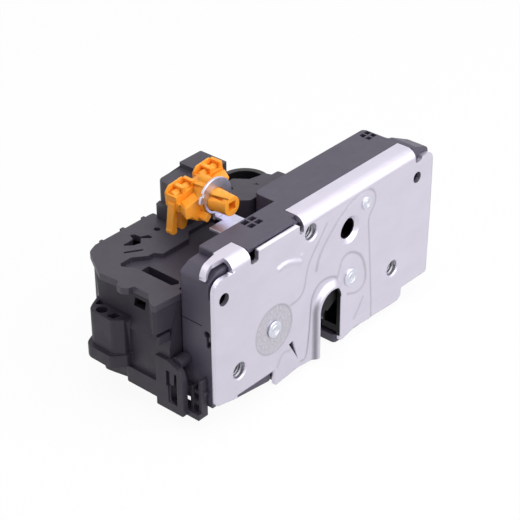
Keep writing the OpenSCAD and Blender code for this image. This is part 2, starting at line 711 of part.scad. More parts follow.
// Springs
coil_turns = 2.2;
coil_pitch = 1.35;
function coil_point(r, a, y) = [r * cos(a), y, r * sin(a)];
module catch_spring() color(zinc) placed() translate([catch_x, back_y + coil_wire + 0.15, catch_z]) {
    steps = round(coil_turns * 18);
    last = 360 * coil_turns;
    wire(concat(
        [coil_point(14, -24, 0), coil_point(9, -14, 0)],
        [for (i = [0:steps]) coil_point(catch_coil_r, last * i / steps, coil_pitch * coil_turns * i / steps)],
        [coil_point(9, last + 16, coil_pitch * coil_turns), coil_point(14, last + 26, coil_pitch * coil_turns)]),
        coil_wire);
}
module pawl_spring() color(zinc) placed() translate([pawl_spring_x, (lever_y + lever_back) / 2, spring_floor + 0.1]) {
    turns = 5;
    steps = 16 * turns;
    height = pawl_z - 3.45 + 8 * sin(8) - gap - spring_floor - 0.1 - 2 * pawl_wire;
    wire([for (i = [0:steps]) [pawl_spring_r * cos(360 * turns * i / steps),
        pawl_spring_r * sin(360 * turns * i / steps), pawl_wire + height * i / steps]], pawl_wire, 6);
}

// Release lever on its own pin behind the back plate
module release_lever() color(zinc) placed() translate([release_x, 0, release_z])
    slab(release_y, release_y + release_t) difference() {
        outline([[-8, -8, 0.5], [-3.4, -8, 0.5], [-1.6, -5, 1], [3.6, -4, 3], [14, 0, 1], [17, 4, 1],
            [15.6, 8, 1.5], [11, 7.4, 2], [1, 5, 4], [-5, 2.6, 3], [-5, -2, 1.5], [-8, -4.6, 1]]);
        circle(release_pin_r + run_fit);
        translate([13.2, 4.2]) circle(1.5);
    }
module release_pin() color(zinc) placed() {
    rod_y(release_x, release_z, release_pin_r - 0.7, tray_d + 0.1, back_y + 0.1);
    rod_y(release_x, release_z, release_pin_r, back_y, release_y + release_t + 0.1);
    rod_y(release_x, release_z, release_pin_r + 1, release_y + release_t + 0.1, release_y + release_t + 0.7);
}

// Actuator case
module case_shape() outline([[case_x, case_front, 0], [bar_step - 0.1, case_front, 0],
    [bar_step - 0.1, gear_y, 0], [tail_x, gear_y, 1], [tail_x, gear_y + 3.2, 1], [tail_x - 0.3, tail_y, 1],
    [tail_x - 3.6, tail_y, 1], [tail_x - 4.2, tail_y + 2.3, 1], [tail_x - 6.9, tail_y + 2.7, 1],
    [plug_x1 + 0.2, tail_y + 4.6, 1], [plug_x1, plug_y1, 2],
    [plug_x1 - 1, case_y - 0.6, 1], [1.5, case_y, 3], [-7.3, 43.8, 2], [case_x, 35, 1]]);
module case_room() outline([[case_x + wall, case_front + wall, 1], [bar_step + wall, case_front + wall, 0],
    [bar_step + wall, gear_y + wall, 0], [tail_x - wall, gear_y + wall, 0],
    [tail_x - 4.4 - wall, tail_y + 2.5 - wall, 1], [plug_x1 - wall, tail_y + 5.1 - wall, 1],
    [plug_x1 - wall, case_y - wall, 2],
    [1.5 + wall, case_y - wall, 3], [-5, 43.6, 2], [case_x + wall, 36, 1]]);
module actuator_case() color(black) placed() {
    difference() {
        union() {
            difference() {
                rise(floor_z, case_top) case_shape();
                left_slope(0);
            }
            rise(0, floor_z + 1) base_plan();
            screw_tower();
            cup_tower();
            flank();
        }
        difference() {
            rise(inner_floor, case_top + 1) intersection() {
                case_room();
                translate([-30, case_front + wall]) square([200, 100]);
            }
            left_slope(wall);
        }
        block(case_x - 1, case_x + slope_in + wall, 27.8, 32.8, 35.8, 38.4);
        rise(-1, floor_z - 0.2) base_rooms();
        translate([0, 0, -1]) rod_z(cup_x, cup_y, cup_r - wall, 0, cup_seat - wall);
        rod_z(cup_x, cup_y, 2.5, cup_seat - wall - 2, cup_seat + 1);
        tower_cuts();
        for (p = [[wheel_x, wheel_y, wheel_pin_r], [lock_x, wheel_y, lock_pin_r]])
            rod_z(p.x, p.y, p[2], floor_z + 0.6, inner_floor + 4);
    }
    for (p = [[wheel_x, wheel_y, wheel_pin_r, worm_z - wheel_face / 2 - 1.4],
        [lock_x, wheel_y, lock_pin_r, lock_z - gap - fit]]) difference() {
        rod_z(p.x, p.y, p[2] + 2, inner_floor - 0.1, p[3]);
        rod_z(p.x, p.y, p[2], floor_z + 0.6, p[3] + 1);
    }
    motor_cradle();
}
// The left wall leans inwards above the clip frame's height
module left_slope(inward) slab(case_front - 1, case_y + 1) polygon([[case_x - 20, slope_z],
    [case_x + inward, slope_z], [case_x + slope_in + inward, case_top], [case_x + slope_in + inward, case_top + 2],
    [case_x - 20, case_top + 2]]);
// Ribbed skirt under the floor that the lock stands on
module base_plan() outline([[7, case_front + 2, 2], [bar_step - 0.6, case_front + 2, 1],
    [bar_step - 0.6, bar_deep + 1, 0], [51, bar_deep + 1, 2], [51, 50, 3], [10, 53, 4]]);
module base_rooms() {
    for (i = [0:3]) for (j = [0:2]) {
        x = 9.6 + i * 9.1;
        y = 19.4 + j * 10.4;
        outline([[x, y, 1], [x + 7.4, y, 1], [x + 7.4, y + 8.6, 1], [x, y + 8.6, 1]]);
    }
}
// Screw boss standing out of the left wall, with its foot flange and light pockets
tower_z = 32;
module screw_tower() {
    rise(13, tower_z) outline([[-11, 36, 2], [-11, 46.4, 3.4], [-3, 50, 0], [-3, 33, 0], [-8, 33, 1]]);
    rise(13.6, 18.4) outline([[-12.4, 35.6, 2.5], [-12.2, 47.6, 4], [-3, 51.5, 0], [-3, 32.4, 0],
        [-8, 32.4, 1]]);
}
module tower_cuts() {
    rod_z(-8.1, 43, 1.9, 15, tower_z + 1);
    rise(tower_z - 9, tower_z + 1) {
        outline([[-9.6, 36.6, 0.6], [-9.6, 39.4, 0.3], [-6.6, 38.6, 0.3], [-6.6, 35.4, 0.6]]);
        outline([[-5.4, 44.6, 0.3], [-7.2, 47, 0.3], [-4.4, 48.2, 0.3]]);
    }
}
// Seat of the cable cup
module cup_tower() {
    rise(0, cup_seat) outline([[52, 36, 1], [64, 33.6, 2], [72.6, 40, 4], [72.6, 47, 4], [66, 52.6, 4],
        [52, 52.6, 2]]);
}
// Lower left flank: stepped skirt, clip frame and guide ribs beside the latch shell
module flank() {
    rise(6.4, 13) outline([[case_x - 1.2, 15.1, 0], [2, 15.1, 0], [2, 34.8, 0], [case_x - 1.2, 34.8, 1.4]]);
    side_clip();
    rise(35, case_top) outline([[-11.4, 16, 1], [case_x + slope_in + 1, case_front, 0],
        [case_x + slope_in + 1, 24, 0], [-8.6, 20.4, 0.6]]);
    rise(30.6, 33.8) outline([[-10.6, 15.6, 0.6], [case_x + 1, 15.3, 0], [case_x + 1, 21.4, 0]]);
}
// Snap clip that grips the end of the latch shell
module side_clip() {
    run_x(-6.8, -4.4) difference() {
        outline([[8.4, 3.6, 0.8], [20.6, 3.6, 0], [20.6, 23.6, 0], [15, 23.6, 2], [9.6, 21.6, 3],
            [8.4, 18, 1]]);
        translate([11.2, 7]) square([4.6, 12.4]);
    }
    run_x(-6.4, -3.6) outline([[12.6, 14, 0.5], [14.6, 14, 0.5], [14.6, 19.6, 0], [12.6, 19.6, 0]]);
    block(-4.6, -0.1, 14.9, 20.6, 3.6, 24);
    for (y = [3.6, 7.2]) run_x(-3.2, -0.1)
        outline([[y, 4.4, 0.4], [y + 1.3, 4.4, 0.4], [y + 1.3, 22 - y, 0.6], [y, 22 - y, 0.6]]);
    block(-4.6, -0.1, 3.6, 15.2, 3.4, 5.6);
    block(-2.4, -0.1, 3, 15.2, 12, 13.4);
    rod_x(12.4, 22.8, 2.2, -5, -0.1);
}
// Saddles under the motor
module motor_cradle() for (x = [motor_x0 + 3, motor_x1 - 5]) difference() {
    block(x, x + wall, worm_y - motor_r + 1, worm_y + motor_r - 1, inner_floor - 0.1, worm_z - 2);
    motor_can(-1, fit);
}

// Flat cover over the gears, stepped down in the middle
module cover_plan() outline([[-0.1, case_front, 0], [-11.5, 16, 1], [-8.7, 20.2, 0.6], [-6.4, 22.6, 0.5],
    [-6.4, 29.2, 0.4], [-8.4, 29.6, 0.4], [-9.8, 31.6, 1], [-9.4, 34, 0.8], [-7.4, 35.2, 0.4],
    [-8.1, 43.4, 2.4], [-0.9, 55.2, 3], [3.2, case_y + 0.4, 1], [plug_x0 - 0.1, case_y + 0.4, 0.6],
    [plug_x0 - 0.1, plug_y0 - 0.1, 0], [gear_x - 0.1, plug_y0 - 0.1, 0], [gear_x - 0.1, 27.2, 0.3],
    [44.5, bar_deep - 0.2, 0.3], [bar_step - 0.1, bar_deep - 0.2, 0], [bar_step - 0.1, case_front, 0]]);
pan_z = mid_z - 1.7;
module cover_pan() outline([[1.4, case_front + wall + fit, 1], [40.6, case_front + wall + fit, 1],
    [40.6, 39.6, 1], [9, 39.6, 1], [1.4, 41, 1]]);
module cover_middle() outline([[-0.6, 40.6, 1], [0.4, 42, 0.6], [5.4, 42, 0.8], [9.9, 38.4, 0.8],
    [12.4, 38.3, 0.5], [14.1, 35.6, 0.5], [26.6, 35.7, 0.8], [30, 39.1, 0.8], [60, 39.1, 0],
    [60, 0, 0], [2, 0, 0], [2, 36.2, 0.5]]);
module actuator_cover() color(black) placed() {
    difference() {
        union() {
            rise(case_top, cover_z) cover_plan();
            rise(pan_z, case_top + 0.1) cover_pan();
        }
        rise(mid_z, cover_z + 1) cover_middle();
        rise(case_top - 1, cover_z + 1) {
            outline([[8.4, 49.8, 0.5], [11.4, 46.8, 0.4], [13.9, 46, 0.3], [16.2, 48.2, 0.3],
                [19.2, 45, 0.5], [19.4, 47.6, 0.4], [16.8, 48.9, 0.3], [16.6, 51.4, 0.4],
                [15.2, 52.4, 0.4], [14.2, 49.8, 0.3], [11.4, 49.4, 0.4]]);
            outline([[6.2, 46.4, 0.4], [5.7, 45.6, 0.4], [11.2, 42, 0.4], [11.8, 42.8, 0.4]]);
            translate([24.1, 48.1]) circle(1.1);
        }
        cover_pocket(0);
    }
    difference() {
        cover_pocket(1.2);
        cover_pocket(0);
        rise(mid_z, cover_z + 1) cover_middle();
    }
    for (p = [[6, 0.7], [16, 1], [26, 0.8]]) rise(case_top, cover_z - 0.2)
        translate([p.x, case_y + 0.3]) square([p.y + 0.6, p.y + 0.6]);
    rise(mid_z - 0.1, cover_z) outline([[2, 17, 0], [4.6, 17.6, 0.3], [4.4, 19, 0.3], [2, 20.4, 0]]);
}
// Long hollow beside the latch shell
module cover_pocket(grow) rise(cover_z - 9 - grow, grow > 0 ? cover_z : cover_z + 1)
    outline([[2.8 - grow, 36 + grow, 0.4], [7.5 + grow, 36 + grow, 0.4], [7.5 + grow, 22.4 - grow, 0.4],
        [4.7, 20 - grow, 0.4], [2.8 - grow, 21.4, 0.4]]);

// Raised cover over the release gear at the back of the deep shell
module gear_plan() outline([[gear_x, gear_y + 3.2, 0.8], [gear_x + 2.8, gear_y, 0.8], [tail_x, gear_y, 0.8],
    [tail_x - 0.3, tail_y, 0.8], [tail_x - 3.6, tail_y, 0.4], [tail_x - 4.4, tail_y + 2.3, 0.6],
    [tail_x - 7.1, tail_y + 2.7, 0.4], [gear_x + 13.4, tail_y + 3.7, 0.6], [gear_x + 9.9, gear_back, 0.8],
    [gear_x + 5.2, gear_back, 0.8], [gear_x + 5.2, tail_y + 3.7, 0.8], [gear_x, tail_y + 1.7, 0.8]]);
module gear_room() outline([[gear_x + wall, gear_y + 3.9, 0], [gear_x + 3.6, gear_y + wall, 0],
    [tail_x - 0.2 - wall, gear_y + wall, 0.5], [tail_x - 0.4 - wall, tail_y + 0.1 - wall, 0.5],
    [tail_x - 5 - wall, tail_y + 2.1 - wall, 0.5], [gear_x + 12.6 - wall, tail_y + 3.5 - wall, 0.5],
    [gear_x + 10.4 - wall, gear_back - 0.2 - wall, 0.5], [gear_x + 5.2 + wall, gear_back - 0.2 - wall, 0],
    [gear_x + 5.2 + wall, tail_y + 4.1 - wall, 0.5], [gear_x + wall, tail_y + 1.7 - wall, 0.5]]);
module gear_cover() color(black) placed() difference() {
    rise(case_top + 0.05, gear_top) gear_plan();
    rise(case_top - 1, gear_top - wall) gear_room();
    rise(gear_top - 1, gear_top + 1) polygon([[53.6, 30.6], [55, 30.4], [54.6, 28.9]]);
}

// Connector housing: hooded socket that opens towards the far end
module connector_housing() color(black) placed() difference() {
    union() {
        rise(case_top + 0.05, plug_top)
            outline([[plug_x0, plug_y0, 1], [plug_x1, plug_y0, 0.5], [plug_x1, plug_y1, 0.5],
                [plug_x0, plug_y1, 2.4]]);
        rise(plug_top - 4, plug_top + plug_raise)
            outline([[plug_x0 + 11, plug_y0, 0.5], [plug_x1, plug_y0, 0.5], [plug_x1, plug_y1, 0.5],
                [plug_x0 + 11, plug_y1, 0.5]]);
        rise(cover_z + 0.05, 51.5)
            outline([[plug_x0 - 1.6, 46, 0.5], [plug_x0 + 1, 46, 0], [plug_x0 + 1, plug_y1, 0],
                [plug_x0 - 1.6, plug_y1, 1.4]]);
        rise(case_top + 0.05, cover_z) outline([[gear_x + 0.1, 38.8, 0], [52.6, 38.8, 0],
            [52.6, plug_y0 + 0.5, 0], [gear_x + 0.1, plug_y0 + 0.5, 0]]);
        block(plug_x1 - 6, plug_x1, plug_y0 - 0.9, plug_y0 + 0.5, 52, 60);
    }
    block(plug_x0 + 9, plug_x1 + 1, plug_y0 + 2, plug_y1 - 2, 48, plug_top - 0.4);
}
pin_pitch = 2.8;
module connector_pins() color(white) placed() for (i = [0:2]) for (j = [0:2])
    block(plug_x0 + 9, plug_x1 - 5, plug_y0 + 2.9 + i * pin_pitch, plug_y0 + 3.5 + i * pin_pitch,
        50.6 + j * 3.6, 51.6 + j * 3.6);

// Round cup where the inside-handle cable enters
module cable_cup() color(black) placed() difference() {
    union() {
        rod_z(cup_x, cup_y, cup_r - 0.6, cup_seat, cup_z);
        rod_z(cup_x, cup_y, cup_r, cup_z - 3, cup_z);
        rod_z(cup_x, cup_y, 2.4, cup_seat - wall, cup_seat + 0.1);
    }
    rod_z(cup_x, cup_y, cup_r - 2.2, cup_seat + 3, cup_z + 1);
    rod_z(cup_x, cup_y, 1.2, cup_seat - wall - 1, cup_seat + 4);
}

// Lock motor with its worm
module motor_can(grow, extra) intersection() {
    rod_x(worm_y, worm_z, motor_r + extra, motor_x0 + grow, motor_x1 - grow);
    block(motor_x0 - 1, motor_x1 + 1, worm_y - 20, worm_y + 20, worm_z - motor_flat - extra,
        worm_z + motor_flat + extra);
}
module lock_motor() color(zinc) placed() {
    difference() {
        union() {
            motor_can(0, 0);
            rod_x(worm_y, worm_z, 3, motor_x0 - 1.4, motor_x0 + 0.1);
        }
        rod_x(worm_y, worm_z, shaft_r + 0.06, motor_x0 - 2, motor_x0 + 6);
    }
    for (d = [-4, 4]) block(motor_x1 - 0.1, motor_x1 + 2.4, worm_y + d - 0.8, worm_y + d + 0.8,
        worm_z - 0.3, worm_z + 0.3);
}
worm_len = 11;
worm_x0 = wheel_x - worm_len / 2;
worm_lead = PI * tooth_m;
module motor_worm() color(white) placed() {
    rod_x(worm_y, worm_z, worm_r - tooth_h + 0.05, worm_x0 - 1, worm_x0 + worm_len + 1);
    rod_x(worm_y, worm_z, shaft_r, worm_x0, motor_x0 + 5.8);
    worm_thread();
}
// Trapezoid thread, one start, that passes the wheel's teeth with a running gap
module worm_thread() {
    turns = (worm_len - 1) / worm_lead;
    steps = round(turns * 20);
    root = worm_r - tooth_h;
    tip = worm_r + tooth_h - 0.1;
    half_root = 0.26 * worm_lead;
    half_tip = 0.13 * worm_lead;
    start = worm_x0 + 0.5 - wheel_x;
    pts = [for (i = [0:steps]) let(
        x = wheel_x + start + (worm_len - 1) * i / steps,
        a = 180 - 360 * (start + (worm_len - 1) * i / steps) / worm_lead)
        each [for (k = [[-half_root, root], [half_root, root], [half_tip, tip], [-half_tip, tip]])
            [x + k.x, worm_y + k.y * cos(a), worm_z + k.y * sin(a)]]];
    sides = [for (i = [0:steps - 1]) for (k = [0:3])
        each [[4 * i + k, 4 * i + (k + 1) % 4, 4 * (i + 1) + k],
            [4 * i + (k + 1) % 4, 4 * (i + 1) + (k + 1) % 4, 4 * (i + 1) + k]]];
    polyhedron(points = pts, faces = concat([[3, 2, 1, 0]], sides, [[for (k = [0:3]) 4 * steps + k]]));
}

// Worm wheel with the pinion on top; the teeth lean with the thread
module gear_teeth(n, first, last, r, z0, z1, lean) for (i = [first:last])
    rotate(360 * i / n) translate([0, 0, (z0 + z1) / 2]) rotate([lean, 0, 0])
        translate([0, 0, -(z1 - z0) / 2]) linear_extrude(z1 - z0)
            polygon([[r - tooth_h - 0.4, -0.25 * PI * tooth_m], [r + tooth_h - 0.1, -0.12 * PI * tooth_m],
                [r + tooth_h - 0.1, 0.12 * PI * tooth_m], [r - tooth_h - 0.4, 0.25 * PI * tooth_m]]);
module worm_wheel() color(white) placed() translate([wheel_x, wheel_y, 0]) difference() {
    union() {
        rod_z(0, 0, wheel_r - tooth_h - 0.1, worm_z - wheel_face / 2, worm_z + wheel_face / 2);
        rotate(90 + 180 / wheel_n) gear_teeth(wheel_n, 1, wheel_n, wheel_r,
            worm_z - wheel_face / 2 + 0.4, worm_z + wheel_face / 2 - 0.4, lead_dir);
        rod_z(0, 0, pinion_r - tooth_h - 0.1, worm_z, pinion_z + pinion_h);
        gear_teeth(pinion_n, 1, pinion_n, pinion_r, pinion_z - 0.5, pinion_z + pinion_h, 0);
    }
    rod_z(0, 0, wheel_pin_r + run_fit, worm_z - 10, pinion_z + 10);
    for (a = [0:60:300]) rotate(a + 30) rod_z(wheel_r - 4, 0, 1.7, worm_z - 10, worm_z + wheel_face / 2 + 0.1);
}
module wheel_pin() color(zinc) placed()
    rod_z(wheel_x, wheel_y, wheel_pin_r, floor_z + 0.6, pan_z);

// Lock lever: toothed sector driven by the pinion, with a blocking arm
module lock_lever() color(white) placed() translate([lock_x, wheel_y, lock_z]) difference() {
    union() {
        cylinder(r = lock_pin_r + 2.6, h = lock_t);
        intersection() {
            cylinder(r = sector_r - tooth_h, h = lock_t);
            linear_extrude(lock_t) sector(180 - 53, 180 + 43, sector_r);
        }
        rotate(180 + 180 / sector_n) gear_teeth(sector_n, -5, 3, sector_r, 0, lock_t, 0);
        linear_extrude(lock_t)
            outline([[0, 0, 0], [-0.6, -4.4, 0], [12.2, -6.4, 1.5], [13, -3.2, 1], [2.4, 3.6, 0]]);
    }
    translate([0, 0, -1]) cylinder(r = lock_pin_r + run_fit, h = lock_t + 2);
    translate([0, 0, -1]) linear_extrude(lock_t + 2)
        outline([[-7.4, -4.2, 1], [-7.4, 4.2, 1], [-10.4, 3.4, 1], [-10.4, -3.4, 1]]);
}
module lock_pin() color(zinc) placed()
    rod_z(lock_x, wheel_y, lock_pin_r, floor_z + 0.6, pan_z);

// Switch that reports the lock lever's place
switch_x = lock_x + 1;
module lock_switch() color(dark) placed() {
    block(switch_x, switch_x + 9, case_front + wall, case_front + wall + 5.6, inner_floor, lock_z + lock_t + 2);
    rod_z(switch_x + 5.6, case_front + wall + 5.4, 0.9, lock_z, lock_z + lock_t);
}

// Steel bracket: shelf, upright with round head, open sector for the stop finger
module shelf_slot() block(key_x - 6 - fit, key_x + 6 + fit, back_y, bar_d + 1, shelf_z - fit, shelf_z + disc_t + fit);
module coupling_bracket() color(zinc) placed() {
    difference() {
        block(key_x - 6, key_x + 6, back_y, disc_y + disc_t, shelf_z, shelf_z + disc_t);
        block(key_x - 7, key_x + 0.6, disc_y - 1.6 - 2 * gap, disc_y + 2, shelf_z - 1, shelf_z + 2);
    }
    block(key_x - 6, key_x + 6, back_y, back_y + disc_t, shelf_z - 3, shelf_z + 0.1);
    slab(disc_y, disc_y + disc_t) difference() {
        union() {
            difference() {
                translate([key_x, key_z]) circle(disc_r);
                translate([key_x, key_z]) difference() {
                    sector(finger_dir - key_swing_b - 18, finger_dir + key_swing_a + 18, disc_r);
                    circle(key_r + 1);
                }
            }
            polygon([[key_x + 0.6, shelf_z + 0.1], [key_x + 6, shelf_z + 0.1], [key_x + 6.4, key_z - 3],
                [key_x + 0.6, key_z - 4]]);
        }
        translate([key_x, key_z]) {
            circle(key_r + run_fit);
            rotate(148) translate([disc_r - 1, -0.5]) square([2, 1]);
        }
    }
}

// Key coupling: slotted shaft with a square drive, two clip sockets, legs and a stop finger
module key_coupling() color(orange) placed() {
    difference() {
        union() {
            rod_y(key_x, key_z, key_r, key_y, body_y + 0.1);
            rod_y(key_x, key_z, key_r + 1.6, body_y, body_y + 8);
            coupling_body();
        }
        translate([key_x, 0, key_z]) slab(key_y - 1, key_y + 6) rotate(20) square(3.6, center = true);
        for (a = [60, 150, 240, 330]) translate([key_x, 0, key_z]) slab(key_y + 2.2, disc_y - 0.4) rotate(a)
            translate([key_r - 1.1, -0.6]) square([2, 1.2]);
    }
    // stop finger through the bracket's open sector
    translate([key_x, 0, key_z]) slab(disc_y - 1.6, body_y + 1.4) rotate(finger_dir)
        outline([[key_r + 1 + gap, -finger_w / 2, 0.3], [disc_r + 1.6, -finger_w / 2, 1],
            [disc_r + 1.6, finger_w / 2, 1], [key_r + 1 + gap, finger_w / 2, 0.3]]);
    translate([key_x, 0, key_z]) slab(body_y, body_y + 1.4) rotate(finger_dir)
        translate([0, -finger_w / 2]) square([disc_r, finger_w]);
}
module coupling_body() translate([key_x, 0, key_z]) {
    slab(body_y + 1.2, body_y + 5.4) rotate(socket_tilt)
        outline([[-12.4, -2.4, 1.2], [-8.8, -3.2, 1], [-8.4, -6.2, 1], [-4.2, -7.4, 1], [3.6, -6.6, 2],
            [8, -0.4, 1], [11.2, 0.8, 1], [12.8, 2.6, 0.8], [8, 3.4, 1], [-12, 1.6, 1]]);
    slab(body_y + 5.3, body_y + 10.8) rotate(socket_tilt)
        outline([[-12.8, -2.4, 1.2], [11.8, -1.4, 1.2], [11.8, 1.4, 0], [-12.8, 1.4, 0]]);
    rotate([0, -socket_tilt, 0]) for (x = [-8.2, 7.2]) translate([x, body_y + 8.6, 5.2]) clip_socket();
    translate([0, 0, 4.2]) rod_y(-0.6, 0, 2.4, body_y + 1.2, body_y + 9.6);
    slab(body_y + 6.8, body_y + 9.6) outline([[-13.8, 0, 0.6], [-11.8, 0, 0.5], [-11.4, -8.2, 1],
        [-10.8, -11.6, 0.8], [-14.2, -11.4, 1.2], [-13.4, -9, 1]]);
    slab(body_y + 6.8, body_y + 9.2) outline([[-9.4, 0, 0], [-6, 0, 0], [-5.6, -8, 2], [-6.8, -11.6, 1.6],
        [-9.6, -11, 1.4]]);
}
// Clip socket: trough with a rod seat, a tall back wall, a low front wall and two cross bars
module clip_socket() {
    block(-4.8, 4.8, -2.6, 2.6, -6, -2.6);
    slab(1.7, 2.6) outline([[-4.8, -2.7, 0], [4.8, -2.7, 0], [4.8, -0.6, 1.4], [3.4, 0.9, 1], [-3, 0.9, 1.2],
        [-4.8, -0.8, 1.2]]);
    slab(-2.6, -1.7) outline([[-4.8, -2.7, 0], [4.8, -2.7, 0], [4.8, -1.5, 0.6], [-4.8, -1.5, 0.6]]);
    block(-4.8, -3.9, -2.6, 2.6, -2.7, -1.2);
    rod_x(0, -1.9, 1.5, -3.95, 4.2);
    for (x = [-1.4, 3.3]) {
        block(x, x + 1.4, -2.6, 1.8, -0.2, 0.8);
        block(x, x + 1.4, -2.6, -1.7, -2.7, 0);
    }
}

face_plate();
back_plate();
catch_rivet();
pawl_rivet();
stop_rivet();
latch_housing();
latch_shell();
catch_bumper();
shell_screws();
rotary_catch();
catch_lining();
pawl();
pawl_damper();
catch_spring();
pawl_spring();
release_lever();
release_pin();
actuator_case();
actuator_cover();
gear_cover();
connector_housing();
connector_pins();
cable_cup();
lock_motor();
motor_worm();
worm_wheel();
wheel_pin();
lock_lever();
lock_pin();
lock_switch();
coupling_bracket();
key_coupling();
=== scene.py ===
import json
import math

import bmesh
import bpy
import numpy as np
from mathutils import Matrix, Vector
from mathutils.bvhtree import BVHTree


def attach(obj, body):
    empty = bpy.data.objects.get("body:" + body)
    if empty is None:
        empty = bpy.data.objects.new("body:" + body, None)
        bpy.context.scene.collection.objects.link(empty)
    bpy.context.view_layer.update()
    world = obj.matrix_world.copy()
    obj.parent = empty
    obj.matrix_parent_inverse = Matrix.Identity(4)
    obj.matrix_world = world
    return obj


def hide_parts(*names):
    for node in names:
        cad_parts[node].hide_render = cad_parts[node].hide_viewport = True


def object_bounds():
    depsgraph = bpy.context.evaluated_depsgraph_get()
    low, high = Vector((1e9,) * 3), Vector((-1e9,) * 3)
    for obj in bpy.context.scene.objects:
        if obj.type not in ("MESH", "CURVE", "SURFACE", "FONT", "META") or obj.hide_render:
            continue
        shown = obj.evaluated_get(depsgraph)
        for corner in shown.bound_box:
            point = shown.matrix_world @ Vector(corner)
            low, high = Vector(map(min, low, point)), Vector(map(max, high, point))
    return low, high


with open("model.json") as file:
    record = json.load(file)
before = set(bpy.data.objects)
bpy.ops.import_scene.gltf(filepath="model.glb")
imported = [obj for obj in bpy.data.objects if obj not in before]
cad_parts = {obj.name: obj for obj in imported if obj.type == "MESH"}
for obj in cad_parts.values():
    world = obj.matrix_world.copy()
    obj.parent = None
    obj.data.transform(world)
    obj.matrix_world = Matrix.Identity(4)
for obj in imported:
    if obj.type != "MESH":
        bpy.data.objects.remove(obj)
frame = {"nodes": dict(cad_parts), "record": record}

MM = 0.001
cad_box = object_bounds()
nodes = frame["nodes"]
body_of = {name: body for body, names in frame["record"]["behaviour"]["bodies"].items()
           for name in names}
scene = bpy.context.scene

# Plate coordinates are measured from the plate's near lower corner, in mm: x along the plate,
# y into the door, z up
CORNER = Vector((-52.8, -3.0, -16.5)) * MM


def at_plate(x, y, z):
    return CORNER + Vector((x, y, z)) * MM


def deep(y):
    """The scene's y at that depth behind the plate's outer face."""
    return at_plate(0, y, 0).y


# ---------------------------------------------------------------- camera, light
# The photograph's camera, solved from the straight edges and right angles of the plate
CAMERA_PLACE = (-372.03, -302.18, 324.79)
CAMERA_TURN = (-48.753, 32.29, -0.319)  # azimuth, elevation and roll, in degrees
FOCAL_PX, SENSOR_MM, IMAGE_PX = 1680.6, 36, 520

# Name, place, width and height in metres, watts. All of them face the part.
SOFTBOXES = (
    ("softbox_above", (0.0, -0.1, 0.9), (1.2, 1.2), 7.6),
    ("softbox_front", (0.25, -0.9, 0.4), (1.3, 1.3), 10.0),
    ("softbox_left", (-0.9, -0.1, 0.3), (0.5, 0.7), 0.8),
)


def add_camera():
    azimuth, elevation, roll = (math.radians(a) for a in CAMERA_TURN)
    back = Vector((math.sin(azimuth) * math.cos(elevation),
                   -math.cos(azimuth) * math.cos(elevation),
                   math.sin(elevation)))
    right = Vector((0, 0, 1)).cross(back).normalized()
    up = back.cross(right)
    turned_right = right * math.cos(roll) + up * math.sin(roll)
    turned_up = up * math.cos(roll) - right * math.sin(roll)
    data = bpy.data.cameras.new("camera")
    data.sensor_width = SENSOR_MM
    data.lens = FOCAL_PX * SENSOR_MM / IMAGE_PX
    data.clip_start, data.clip_end = 0.01, 10
    camera = bpy.data.objects.new("camera", data)
    camera.matrix_world = Matrix.Translation(Vector(CAMERA_PLACE) * MM) @ Matrix(
        (turned_right, turned_up, back)).transposed().to_4x4()
    scene.collection.objects.link(camera)
    scene.camera = camera


def add_softbox(name, place, size, watts):
    data = bpy.data.lights.new(name, "AREA")
    data.shape = "RECTANGLE"
    data.size, data.size_y = size
    data.energy = watts
    lamp = bpy.data.objects.new(name, data)
    lamp.location = place
    to_part = Vector((0, 0, 0)) - Vector(place)
    lamp.rotation_euler = to_part.to_track_quat("-Z", "Y").to_euler()
    scene.collection.objects.link(lamp)


add_camera()
for softbox in SOFTBOXES:
    add_softbox(*softbox)
scene.view_settings.view_transform = "Standard"


# ---------------------------------------------------------------- materials
# The colour sockets of a Mix node
MIX_FACTOR, MIX_A, MIX_B, MIX_RESULT = 0, 6, 7, 2


def linear(hex_colour):
    channels = [int(hex_colour[i:i + 2], 16) / 255 for i in (1, 3, 5)]
    return tuple(c / 12.92 if c <= 0.04045 else ((c + 0.055) / 1.055) ** 2.4
                 for c in channels) + (1.0,)


def add(tree, kind, links=(), **settings):
    """Adds a node, sets its properties and sockets, and links sockets into it."""
    new = tree.nodes.new(kind)
    for key, value in settings.items():
        if hasattr(new, key):
            setattr(new, key, value)
        else:
            new.inputs[key.replace("_", " ")].default_value = value
    for source, target in links:
        tree.links.new(source, new.inputs[target])
    return new


def new_material(name, **settings):
    material = bpy.data.materials.new(name)
    material.use_nodes = True
    tree = material.node_tree
    shader = tree.nodes["Principled BSDF"]
    for key, value in settings.items():
        shader.inputs[key.replace("_", " ")].default_value = value
    return material, tree, shader


def place_mm(tree, stretch=(1, 1, 1)):
    """Object coordinates in millimetres, stretched along each axis."""
    where = add(tree, "ShaderNodeTexCoord")
    scale = [s / MM for s in stretch]
    return add(tree, "ShaderNodeMapping", [(where.outputs["Object"], "Vector")],
               Scale=scale).outputs["Vector"]


def noise_of(tree, where, size, detail):
    """Noise in patches of that size, in mm."""
    return add(tree, "ShaderNodeTexNoise", [(where, "Vector")],
               Scale=1 / size, Detail=detail).outputs["Fac"]


def grain(tree, shader, where, size, depth, detail=3.0):
    """Surface grain of that depth, in mm, as bump."""
    noise = noise_of(tree, where, size, detail)
    bump = add(tree, "ShaderNodeBump", [(noise, "Height")], Distance=depth * MM, Strength=1.0)
    tree.links.new(bump.outputs["Normal"], shader.inputs["Normal"])


def patchy_sheen(tree, shader, where, size, low, high, detail=2.0):
    """Roughness that varies between low and high."""
    noise = noise_of(tree, where, size, detail)
    spread = add(tree, "ShaderNodeMapRange", [(noise, "Value")],
                 From_Min=0.3, From_Max=0.7, To_Min=low, To_Max=high)
    tree.links.new(spread.outputs["Result"], shader.inputs["Roughness"])


